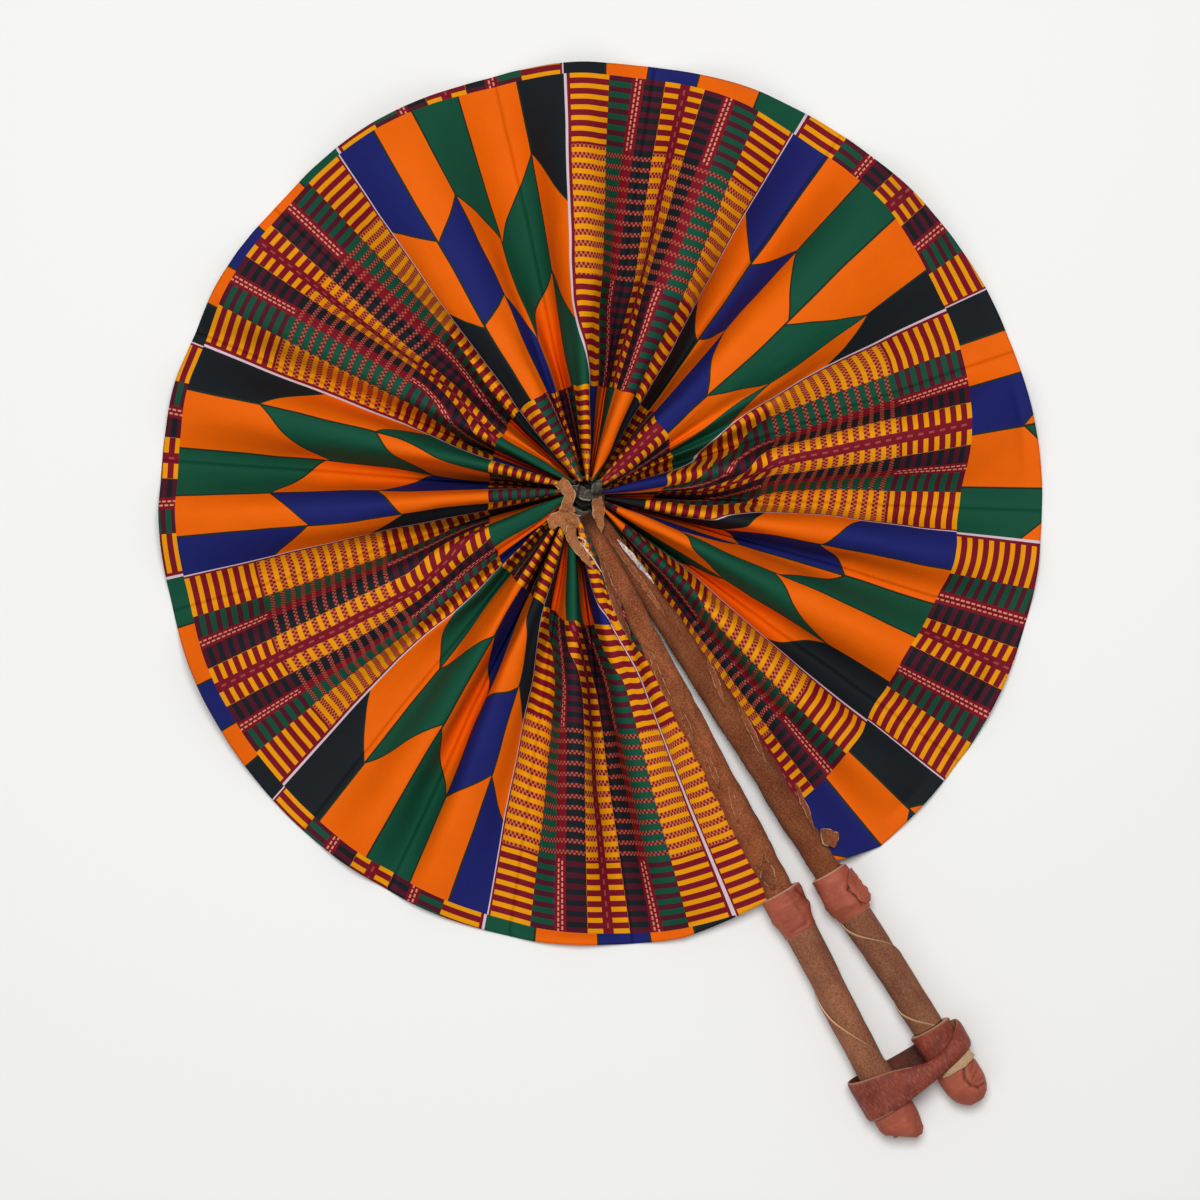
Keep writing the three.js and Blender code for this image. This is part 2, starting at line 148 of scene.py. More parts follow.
def follow(stations: Rows, place: float, ring: bool = False) -> list[float]:
    """Numbers at a place on a smooth Catmull-Rom curve through stations.

    Args:
        stations: The numbers at the places 0, 1, 2 and so on.
        place: Where to read.
        ring: Whether the first station follows the last.

    Returns:
        The numbers there.
    """
    count = len(stations)
    index = int(place) if ring else min(int(place), count - 2)
    t = place - index
    numbers = (
        (index + k) % count if ring else min(max(index + k, 0), count - 1) for k in (-1, 0, 1, 2)
    )
    return [
        0.5 * (2 * b + (c - a) * t + (2 * a - 5 * b + 4 * c - d) * t**2
               + (3 * b - a - 3 * c + d) * t**3)
        for a, b, c, d in zip(*(stations[number] for number in numbers))
    ]


def linear(colour: str) -> tuple[float, float, float, float]:
    """Turn an sRGB hex colour into linear red, green, blue and alpha.

    Args:
        colour: Six hex digits after a hash sign.

    Returns:
        The colour that the shaders take.
    """
    parts = [int(colour[i : i + 2], 16) / 255 for i in (1, 3, 5)]
    red, green, blue = (
        c / 12.92 if c <= 0.04045 else ((c + 0.055) / 1.055) ** 2.4 for c in parts
    )
    return red, green, blue, 1.0


def add_node(tree: NodeTree, kind: str, feeds: dict | None = None, **settings: object) -> Node:
    """Add a node with its settings and links.

    Args:
        tree: The node tree that gets the node.
        kind: Blender's name for the node's type.
        feeds: What goes into each input, by its name or number: a value, a socket or a Reading.
        **settings: The node's own properties.

    Returns:
        The new node.
    """
    node = tree.nodes.new(kind)
    for name, value in settings.items():
        setattr(node, name, value)
    for key, value in (feeds or {}).items():
        source = value.socket if isinstance(value, Reading) else value
        if isinstance(source, NodeSocket):
            tree.links.new(source, node.inputs[key])
        else:
            node.inputs[key].default_value = source
    return node


@dataclass(frozen=True)
class Reading:
    """A number that a node tree works out at each point, and that can be reckoned with."""

    tree: NodeTree
    socket: NodeSocket

    def reckon(self, operation: str, *others: Reading | float) -> Reading:
        """The result of one of Blender's math operations on this number and others."""
        feeds = dict(enumerate((self, *others)))
        node = add_node(self.tree, "ShaderNodeMath", feeds, operation=operation)
        return Reading(self.tree, node.outputs[0])

    def __add__(self, other: Reading | float) -> Reading:
        """Sum."""
        return self.reckon("ADD", other)

    __radd__ = __add__

    def __sub__(self, other: Reading | float) -> Reading:
        """Difference."""
        return self.reckon("SUBTRACT", other)

    def __mul__(self, other: Reading | float) -> Reading:
        """Product."""
        return self.reckon("MULTIPLY", other)

    __rmul__ = __mul__

    def __truediv__(self, other: Reading | float) -> Reading:
        """Quotient."""
        return self.reckon("DIVIDE", other)

    def over(self, other: Reading | float) -> Reading:
        """1 where this number is the larger one, else 0."""
        return self.reckon("GREATER_THAN", other)

    def below(self, other: Reading | float) -> Reading:
        """1 where this number is the smaller one, else 0."""
        return self.reckon("LESS_THAN", other)

    def within(self, low: float, high: float) -> Reading:
        """1 between two limits, else 0."""
        return self.over(low) * self.below(high)

    def step(self, start: float, end: float) -> Reading:
        """Smooth step from 0 at start to 1 at end."""
        feeds = {"Value": self, "From Min": start, "From Max": end}
        node = add_node(self.tree, "ShaderNodeMapRange", feeds, interpolation_type="SMOOTHSTEP")
        return Reading(self.tree, node.outputs[0])


def cloud(x: Reading, y: Reading, z: Reading | float) -> Reading:
    """Smooth noise from -1 to 1.

    Args:
        x: The first number of the point that it is read at, one lump being about 1 across.
        y: The second.
        z: The third.

    Returns:
        The noise.
    """
    spot = add_node(x.tree, "ShaderNodeCombineXYZ", {0: x, 1: y, 2: z}).outputs[0]
    feeds = {"Vector": spot, "Scale": 1.0, "Detail": 2.0}
    value = add_node(x.tree, "ShaderNodeTexNoise", feeds).outputs[0]
    return (Reading(x.tree, value) - 0.5) * 2.0


class Surface:
    """A material under work, with its node tree and its shader."""

    def __init__(self, name: str) -> None:
        """Start a material.

        Args:
            name: Its name.
        """
        self.material = bpy.data.materials.new(name)
        self.material.use_nodes = True
        self.tree = self.material.node_tree
        self.shader = self.tree.nodes["Principled BSDF"]

    def place(self) -> NodeSocket:
        """The point on the piece, in metres."""
        return add_node(self.tree, "ShaderNodeTexCoord").outputs["Object"]

    def stored(self, name: str) -> Reading:
        """A named value of the mesh, 0 where a mesh has none."""
        node = add_node(self.tree, "ShaderNodeAttribute", attribute_name=name)
        return Reading(self.tree, node.outputs["Fac"])

    def noise(
        self, place: NodeSocket, size: float, detail: float = 3.0, stretch: Row = (1.0, 1.0, 1.0)
    ) -> Reading:
        """Cloudy noise from 0 to 1.

        Args:
            place: The point that it is read at, in metres.
            size: How wide its spots are, in metres.
            detail: How many finer layers it has.
            stretch: How much closer its spots lie along each axis.

        Returns:
            The noise.
        """
        feeds = {0: place, 1: [s / size for s in stretch]}
        scaled = add_node(self.tree, "ShaderNodeVectorMath", feeds, operation="MULTIPLY")
        feeds = {"Vector": scaled.outputs[0], "Scale": 1.0, "Detail": detail}
        return Reading(self.tree, add_node(self.tree, "ShaderNodeTexNoise", feeds).outputs[0])

    def mix(
        self, first: NodeSocket | str, second: NodeSocket | str, share: Reading | float
    ) -> NodeSocket:
        """Mix two colours, each a socket or a hex value.

        Args:
            first: The colour where the share is 0.
            second: The colour where it is 1.
            share: How much of the second colour shows.

        Returns:
            The mixed colour.
        """
        a, b = (linear(c) if isinstance(c, str) else c for c in (first, second))
        feeds = {0: share, 6: a, 7: b}
        return add_node(self.tree, "ShaderNodeMix", feeds, data_type="RGBA").outputs[2]

    def bands(self, place: Reading, bands: Sequence[tuple[float, str]]) -> NodeSocket:
        """Colours that change abruptly.

        Args:
            place: The reading, from 0 to 1, that they change along.
            bands: Where each colour starts, and its hex value.

        Returns:
            The colour.
        """
        node = add_node(self.tree, "ShaderNodeValToRGB", {"Fac": place})
        ramp = node.color_ramp
        ramp.interpolation = "CONSTANT"
        ramp.elements.remove(ramp.elements[1])
        for index, (start, colour) in enumerate(bands):
            element = ramp.elements.new(start) if index else ramp.elements[0]
            element.position = start
            element.color = linear(colour)
        return node.outputs["Color"]

    def used(self, colour: NodeSocket, cut: str) -> NodeSocket:
        """A leather's colour with its pale cut edges, darkened where it is soiled or worn and where
        painted shade lies.
        """
        colour = self.mix(colour, cut, self.stored("cut"))
        return self.mix(colour, SOIL_AND_SHADE, self.stored("soil"))

    def finish(
        self, colour: NodeSocket, relief: Sequence[tuple], roughness: float, specular: float = 0.5
    ) -> Material:
        """Give the shader its colour, gloss and relief.

        Args:
            colour: The surface's colour.
            relief: For each layer its height from 0 to 1, its depth in metres and its strength.
            roughness: How matt it is.
            specular: How strongly it reflects, where 0.5 is usual.

        Returns:
            The material.
        """
        self.tree.links.new(colour, self.shader.inputs["Base Color"])
        self.shader.inputs["Roughness"].default_value = roughness
        self.shader.inputs["Specular IOR Level"].default_value = specular
        feeds = {}
        for height, depth, strength in relief:
            feeds.update({"Height": height, "Distance": depth, "Strength": strength})
            feeds["Normal"] = add_node(self.tree, "ShaderNodeBump", feeds).outputs[0]
        self.tree.links.new(feeds["Normal"], self.shader.inputs["Normal"])
        return self.material


@dataclass(frozen=True)
class PrintedCotton:
    """Waxed cotton, printed with blocks of woven ladders and of slanted leaves.

    The print lies on the UV map: one unit is a block along the strip and a block across it.
    """

    orange: str = "#F26700"
    green: str = "#13503A"
    blue: str = "#1C2268"
    black: str = "#1A1F23"
    maroon: str = "#7C1222"
    dark_maroon: str = "#511626"
    yellow: str = "#F09C00"
    amber: str = "#D2703A"
    salmon: str = "#B1543E"
    dash: str = "#E48F73"
    thin_dash: str = "#9E4A44"
    seam: str = "#DCC8CF"
    outline: str = "#22301F"
    block: Pair = (98.7 * MM, 122 * MM)
    thread: float = 0.45 * MM  # coarser than real, so that the weave shows
    patch: float = 14 * MM  # of faded print
    fleck: float = 0.9 * MM  # of uneven dye
    crumple: float = 9 * MM
    # Right limit of each leaf column, then both its changes of colour at its left and right side
    leaves: tuple = (
        (0.17, (0.30, 0.42), (0.62, 0.73), "blue orange black"),
        (0.345, (0.43, 0.305), (0.72, 0.645), "orange blue orange"),
        (0.55, (0.305, 0.48), (0.655, 0.825), "green orange blue"),
        (0.80, (0.50, 0.24), (0.82, 0.62), "orange green orange"),
        (1.0, (0.235, 0.415), (0.62, 0.795), "black orange green"),
    )
    leaf_line: float = 0.004  # half a dark outline, as a share of a block
    # Out from the line that a ladder block mirrors about: where each column starts, and the colours
    # of its rungs, of the gaps between them and of the gaps' dots
    ladders: tuple = (
        (0.0, "maroon maroon maroon"), (0.04, "yellow maroon amber"),
        (0.17, "black dark_maroon salmon"), (0.335, "maroon maroon salmon"),
        (0.435, "green dark_maroon salmon"), (0.635, "yellow maroon amber"),
    )
    mirror: float = 0.505
    dense: Pair = (0.17, 0.635)  # where the rungs are staggered and thicker
    dotted: Pair = (0.235, 0.655)  # the dotted stretch along a block
    bars: float = 28.4  # in a block
    rung: float = 0.45  # of the room from rung to rung
    thicker: Pair = (0.06, 0.1)  # dense rungs, and how much more so if dotted
    cells: float = 112.0  # of the dotted rows, in a block: coarser than real, so that they show
    dash_line: float = 0.385
    dash_offset: float = 0.82 * MM
    dash_half: float = 0.36 * MM
    dash_gap: float = 0.32
    thin_half: float = 0.0085
    border: float = 0.962
    seam_limits: Pair = (0.011, 0.9945)

    def leaf_block(self, skin: Surface, across: Reading, along: Reading) -> NodeSocket:
        """Columns of slanted leaves in plain colours with thin dark outlines.

        Args:
            skin: The material.
            across: The place in the block along the strip, from 0 to 1.
            along: The place in the block from the rim inwards, from 0 to 1.

        Returns:
            The colour.
        """
        colour = None
        left = 0.0
        for right, first, second, names in self.leaves:
            column, *shades = (getattr(self, name) for name in names.split())
            share = (across - left) / (right - left)
            for ends, shade in zip((first, second), shades):
                past = along - share * (ends[1] - ends[0]) - ends[0]
                column = skin.mix(column, shade, past.over(0.0))
                edge = past.reckon("ABSOLUTE").below(self.leaf_line)
                column = skin.mix(column, self.outline, edge)
            if colour is None:
                colour = column
            else:
                colour = skin.mix(colour, column, across.over(left))
                line = (across - left).reckon("ABSOLUTE").below(self.leaf_line)
                colour = skin.mix(colour, self.outline, line)
            left = right
        return colour

    def ladder_block(self, skin: Surface, across: Reading, along: Reading) -> NodeSocket:
        """Rungs in columns that mirror about the middle, with dotted rows half way along.

        Args:
            skin: The material.
            across: The place in the block along the strip, from 0 to 1.
            along: The place in the block from the rim inwards, from 0 to 1.

        Returns:
            The colour.
        """
        out = (across - self.mirror).reckon("ABSOLUTE") * 2.0
        bar, gap, fleck = (
            skin.bands(out, [(start, getattr(self, n.split()[kind])) for start, n in self.ladders])
            for kind in range(3)
        )
        dense, middle = out.within(*self.dense), along.within(*self.dotted)
        rung = along * self.bars + dense * 0.5
        place = rung.reckon("FRACT")
        share = dense * (middle * self.thicker[1] + self.thicker[0]) + self.rung
        row = ((place - share) / (share * -1.0 + 1.0) * 2.0).reckon("FLOOR")
        cells = (across * self.cells).reckon("FLOOR") + row
        check = (cells * 0.5).reckon("FRACT").over(0.25)
        colour = skin.mix(skin.mix(gap, fleck, check * middle), bar, place.below(share))
        beside = (out - self.dash_line) * self.block[0] / 2.0
        off_line = (beside.reckon("ABSOLUTE") - self.dash_offset).reckon("ABSOLUTE")
        dashes = (along * self.bars * 2.0 + beside.over(0.0) * 0.5).reckon("FRACT")
        dash = off_line.below(self.dash_half) * dashes.over(self.dash_gap)
        colour = skin.mix(colour, self.dash, dash * (middle * -1.0 + 1.0))
        colour = skin.mix(colour, self.thin_dash, out.below(self.thin_half) * place.over(0.5))
        colour = skin.mix(colour, self.maroon, out.over(self.border))
        seam = across.below(self.seam_limits[0]) + across.over(self.seam_limits[1])
        return skin.mix(colour, self.seam, seam)

    def make(self) -> Material:
        """Build the material.

        Returns:
            The material.
        """
        skin = Surface("printed_cotton")
        uv = add_node(skin.tree, "ShaderNodeUVMap", uv_map="print").outputs[0]
        split = add_node(skin.tree, "ShaderNodeSeparateXYZ", {0: uv})
        strip, row = (Reading(skin.tree, split.outputs[i]) for i in (0, 1))
        across, along = strip.reckon("FRACT"), row.reckon("FRACT")
        block = strip.reckon("FLOOR").reckon("MAXIMUM", 0.0) + row.reckon("FLOOR")
        leafy = (block * 0.5).reckon("FRACT").over(0.25) * strip.over(0.0)
        ladders = self.ladder_block(skin, across, along)
        colour = skin.mix(ladders, self.leaf_block(skin, across, along), leafy)
        feeds = {0: uv, 1: (*self.block, 0.0)}
        place = add_node(skin.tree, "ShaderNodeVectorMath", feeds, operation="MULTIPLY").outputs[0]
        dull = skin.noise(place, self.patch, 4.0) * 0.16 + skin.noise(place, self.fleck, 2.0) * 0.10
        colour = skin.mix(colour, "#000000", dull - 0.04)
        split = add_node(skin.tree, "ShaderNodeSeparateXYZ", {0: place})
        warp, weft = (
            (Reading(skin.tree, split.outputs[i]) * (tau / self.thread)).reckon("SINE")
            for i in (0, 1)
        )
        weave = (warp + weft) * 0.25 + 0.5
        crumple = skin.noise(place, self.crumple, 5.0, (1.0, 0.35, 1.0))
        relief = [(weave, 0.05 * MM, 0.35), (crumple, 0.9 * MM, 0.35)]
        return skin.finish(colour, relief, 0.7, 0.1)


@dataclass(frozen=True)
class BrownSuede:
    """Goat suede with a napped face; its knife-cut edges are paler, as the raw inside shows."""

    name: str = "sleeve_suede"
    face: str = "#93502F"
    dark: str = "#5A2B1A"
    light: str = "#B0704A"
    cut: str = "#DDB68E"
    nap: float = 0.62 * MM  # clumps of fibre
    patch: float = 16 * MM
    streak: float = 3.2 * MM
    crease: float = 5 * MM

    def make(self) -> Material:
        """Build the material.

        Returns:
            The material.
        """
        skin = Surface(self.name)
        place = skin.place()
        patches = skin.noise(place, self.patch, 4.0).step(0.3, 0.72)
        streaks = skin.noise(place, self.streak, 4.0, (1.0, 0.3, 1.0)).step(0.35, 0.75)
        nap = skin.noise(place, self.nap, 2.0)
        colour = skin.mix(self.dark, self.face, patches * 0.5 + 0.5)
        colour = skin.mix(colour, self.light, streaks * 0.35)
        colour = skin.mix(colour, self.dark, nap.step(0.5, 0.72) * 0.75)
        colour = skin.mix(colour, self.light, nap.step(0.47, 0.28) * 0.6)
        skin.shader.inputs["Sheen Weight"].default_value = 0.05
        skin.shader.inputs["Sheen Roughness"].default_value = 0.5
        crease = skin.noise(place, self.crease, 4.0, (1.0, 0.4, 1.0))
        relief = [(nap, 0.12 * MM, 0.6), (crease, 0.8 * MM, 0.4)]
        return skin.finish(skin.used(colour, self.cut), relief, 0.9, 0.08)


@dataclass(frozen=True)
class RedLeather:
    """Thin dyed grain leather, softly glossed by hands, with fine cross wrinkles."""

    name: str = "red_leather"
    face: str = "#AC5843"
    dark: str = "#86402F"
    light: str = "#C67A58"
    cut: str = "#D9B49A"
    grain: float = 0.8 * MM
    wrinkles: tuple[float, float, float] = (0.35, 1.0, 0.6)
    streaks: float = 0.2
    patch: float = 9 * MM

    def make(self) -> Material:
        """Build the material.

        Returns:
            The material.
        """
        skin = Surface(self.name)
        place = skin.place()
        patches = skin.noise(place, self.patch, 4.0).step(0.3, 0.7)
        lines = skin.noise(place, self.grain * 2, 3.0, self.wrinkles)
        colour = skin.mix(self.dark, self.face, patches * 0.65 + 0.35)
        colour = skin.mix(colour, self.light, lines.step(0.5, 0.7) * self.streaks)
        colour = skin.mix(colour, self.dark, lines.step(0.46, 0.3) * self.streaks)
        pebbles = skin.noise(place, self.grain, 2.0)
        relief = [(pebbles, 0.12 * MM, 0.6), (lines, 0.4 * MM, 0.6)]
        return skin.finish(skin.used(colour, self.cut), relief, 0.55, 0.2)


@dataclass(frozen=True)
class WornLeather:
    """Old leather rubbed grey; the knot's near-black copy is dark knotted leather and painted shade
    of the hole over the pivot.
    """

    name: str = "worn_leather"
    face: str = "#35302A"
    rubbed: str = "#8A7E6C"
    patch: float = 0.9 * MM
    grain: float = 0.7 * MM

    def make(self) -> Material:
        """Build the material.

        Returns:
            The material.
        """
        skin = Surface(self.name)
        place = skin.place()
        rub = skin.noise(place, self.patch, 4.0).step(0.45, 0.75)
        colour = skin.mix(self.face, self.rubbed, rub * 0.6)
        colour = skin.mix(colour, self.rubbed, skin.stored("cut"))
        return skin.finish(colour, [(skin.noise(place, self.grain), 0.15 * MM, 0.6)], 0.8)


@dataclass(frozen=True)
class BareWood:
    """Whittled light wood, its grain along the stick."""

    early: str = "#B98F5E"
    late: str = "#7E5A36"
    ring: float = 1.1 * MM

    def make(self) -> Material:
        """Build the material.

        Returns:
            The material.
        """
        skin = Surface("bare_wood")
        grain = skin.noise(skin.place(), self.ring, 4.0, (1.0, 0.05, 1.0))
        colour = skin.mix(self.early, self.late, grain.step(0.4, 0.7))
        return skin.finish(colour, [(grain, 0.2 * MM, 0.5)], 0.7)


@dataclass(frozen=True)
class TwistedCord:
    """Cotton cord, laid from three strands and soiled by handling."""

    name: str = "twisted_cord"
    face: str = "#5E4A36"
    dark: str = "#2E2118"
    stain: float = 1.2 * MM
    fibre: float = 0.3 * MM

    def make(self) -> Material:
        """Build the material.

        Returns:
            The material.
        """
        skin = Surface(self.name)
        place = skin.place()
        stains = skin.noise(place, self.stain).step(0.35, 0.7)
        colour = skin.mix(self.face, self.dark, stains)
        return skin.finish(colour, [(skin.noise(place, self.fibre), 0.1 * MM, 0.6)], 0.9)


class Finishes:
    """Every material of the fan."""

    def __init__(self) -> None:
        """Build them all."""
        self.cotton = PrintedCotton().make()
        self.suede = BrownSuede().make()
        self.thong_suede = BrownSuede("thong_suede", "#AE6C42", "#70401F", "#C58A5C").make()
        self.grip_suede = BrownSuede("grip_suede", "#925C44", "#653C2B", "#AC7754").make()
        self.red_leather = RedLeather().make()
        self.strap_leather = RedLeather(
            "strap_leather", "#8E4231", "#541F19", "#B56C54", "#B8956F", 0.32 * MM,
            (1.0, 0.3, 0.6), 0.36,
        ).make()
        self.worn_leather = WornLeather().make()
        # near-black: dark knotted leather and painted shade of the hole over the pivot
        self.knot_leather = WornLeather("knot_leather", "#15110F", "#2E2823").make()
        self.wood = BareWood().make()
        self.cord = TwistedCord().make()
        self.backing = TwistedCord("backing_cotton", "#EFE2DA", "#A88C7C").make()


def new_object(
    name: str, points: Sequence[Vector], faces: Sequence[tuple], material: Material, cut: Row = ()
) -> Object:
    """Make a smooth mesh object at the origin.

    Args:
        name: The piece's name.
        points: Its vertices in the row frame.
        faces: The vertices of each face.
        material: Its finish.
        cut: For each vertex, 1 on a cut edge of leather and 0 off it.

    Returns:
        The linked object.
    """
    mesh = bpy.data.meshes.new(name)
    mesh.from_pydata([tuple(p) for p in points], [], faces)
    mesh.shade_smooth()
    mesh.materials.append(material)
    if cut:
        mesh.attributes.new("cut", "FLOAT", "POINT").data.foreach_set("value", list(cut))
    mesh.update()
    return link(name, mesh)


def grid_faces(rows: int, columns: int, join_rows: bool, join_columns: bool) -> list[tuple]:
    """Faces of a grid of points, row by row.

    Args:
        rows: How many rows it has.
        columns: How many points a row has.
        join_rows: Whether the last row joins the first.
        join_columns: Whether each row's last point joins its first.

    Returns:
        Four vertex numbers for each face.
    """
    faces = []
    for i in range(rows if join_rows else rows - 1):
        for j in range(columns if join_columns else columns - 1):
            k, m = (i + 1) % rows, (j + 1) % columns
            faces.append((i * columns + j, i * columns + m, k * columns + m, k * columns + j))
    return faces


def outward(points: Sequence[Vector], faces: list[tuple]) -> list[tuple]:
    """Turn the faces of a closed mesh so that they point out of it.

    Args:
        points: Its vertices.
        faces: The vertex numbers of each face, all turned the same way.

    Returns:
        The faces.
    """
    volume = sum(
        points[face[0]].dot(points[b].cross(points[c]))
        for face in faces
        for b, c in zip(face[1:], face[2:])
    )
    return faces if volume > 0 else [tuple(reversed(face)) for face in faces]


@dataclass(frozen=True)
class HandleLine:
    """Where a handle runs, and how thick its stick and sleeve are, in millimetres."""

    offset: float = 1.55
    shift: float = -1.95
    half_angle: float = 2.8
    grip_height: float = 9.5
    lift: Pair = (5.5, -1.8)  # of the left and right stick at the pivot
    crossing: float = 78.0
    level: float = 145.0
    start: float = 6.0
    end: float = 281.0
    full: float = 100.0
    tip_half: Pair = (2.6, 2.7)
    sleeve_half: Pair = (5.6, 5.4)  # widths of the left and right sleeve
    sleeve_half_height: float = 5.4
    gap: float = 0.3

    def across(self, side: Side, distance: float) -> float:
        """X of the handle's centre line."""
        spread = self.offset + tan(radians(self.half_angle)) * distance
        return side.value * spread + self.shift

    def height(self, side: Side, distance: float) -> float:
        """Z of the handle's centre line."""
        lift = self.lift[side.index] * (1 - rise(distance, self.crossing, self.level))
        return self.grip_height + lift

    def sleeve(self, side: Side, distance: float) -> Pair:
        """Half width and half height of the sleeve.

        Args:
            side: Which handle.
            distance: Out from the pivot.

        Returns:
            Both halves.
        """
        far, near = (rise(d, -self.full, self.full) * 2 - 1 for d in (distance, self.start))
        flat = rise(distance, self.crossing, self.level)
        return (
            mix(self.tip_half[0], self.sleeve_half[side.index], (far - near) / (1 - near)),
            mix(self.tip_half[1], self.sleeve_half_height, flat),
        )

    def point(
        self, side: Side, distance: float, angle: float, width: float, height: float
    ) -> Vector:
        """A point round the handle, in metres.

        Args:
            side: Which handle.
            distance: Out from the pivot.
            angle: Round the handle, in radians: 0 points along +X and a quarter turn up.
            width: Half width of the oval there.
            height: Half height of the oval there.

        Returns:
            The point in the row frame.
        """
        return MM * Vector((
            self.across(side, distance) + width * cos(angle),
            -distance,
            self.height(side, distance) + height * sin(angle),
        ))


def puckers(place: Vector, size: float, seed: float) -> float:
    """Smooth noise from -1 to 1 at a place in millimetres, with lumps of about that size."""
    return noise.noise(place / size + Vector((seed, seed * 1.7, seed * 0.3)))


class Inputs:
    """The named inputs of a Geometry Nodes tree, and the modifier values that go with them."""

    def __init__(self, tree: NodeTree, sizes: dict[str, float]) -> None:
        """Add the tree's mesh sockets and a float input for each size.

        Args:
            tree: The tree.
            sizes: Each input's name and usual value, in metres or radians.
        """
        for way in ("INPUT", "OUTPUT"):
            tree.interface.new_socket(name="Mesh", in_out=way, socket_type="NodeSocketGeometry")
        self.identifiers = {}
        for name, size in sizes.items():
            socket = tree.interface.new_socket(name=name, socket_type="NodeSocketFloat")
            socket.default_value = size
            self.identifiers[name] = socket.identifier
        self.tree = tree
        self.node = add_node(tree, "NodeGroupInput")

    def __getitem__(self, name: str) -> Reading:
        """The reading of a named size."""
        return Reading(self.tree, self.node.outputs[name])


def attribute(tree: NodeTree, name: str, kind: str = "FLOAT") -> NodeSocket:
    """A named attribute of the mesh in a Geometry Nodes tree."""
    feeds = {"Name": name}
    return add_node(tree, "GeometryNodeInputNamedAttribute", feeds, data_type=kind).outputs[0]


def finish_tree(tree: NodeTree, geometry: NodeSocket, material: Material) -> None:
    """End a Geometry Nodes tree with real instances, smooth faces and the finish.

    Args:
        tree: The tree.
        geometry: What it has made.
        material: The finish.
    """
    real = add_node(tree, "GeometryNodeRealizeInstances", {0: geometry}).outputs[0]
    smooth = add_node(tree, "GeometryNodeSetShadeSmooth", {0: real}).outputs[0]
    dressed = add_node(tree, "GeometryNodeSetMaterial", {0: smooth, "Material": material})
    add_node(tree, "NodeGroupOutput", {0: dressed.outputs[0]})


def link(name: str, data: bpy.types.ID) -> Object:
    """Put an object with this name and data into the scene."""
    thing = bpy.data.objects.new(name, data)
    bpy.context.scene.collection.objects.link(thing)
    return thing


def settle(piece: Object) -> Object:
    """Turn a piece and its modifiers into a plain mesh of the same name.

    Args:
        piece: A mesh or curve with its modifiers.

    Returns:
        The new object, which takes the old one's place.
    """
    name = piece.name
    depsgraph = bpy.context.evaluated_depsgraph_get()
    mesh = bpy.data.meshes.new_from_object(
        piece.evaluated_get(depsgraph), preserve_all_data_layers=True, depsgraph=depsgraph
    )
    bpy.data.objects.remove(piece)
    mesh.name = name
    return link(name, mesh)


@dataclass(frozen=True)
class Pleat:
    """One fold of the cloth, by the clockwise angles of its lines from between the handles."""

    number: int
    start: float
    ridge: float
    end: float
    last: bool

    @property
    def name(self) -> str:
        """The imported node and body."""
        return f"pleat_{self.number:02d}"


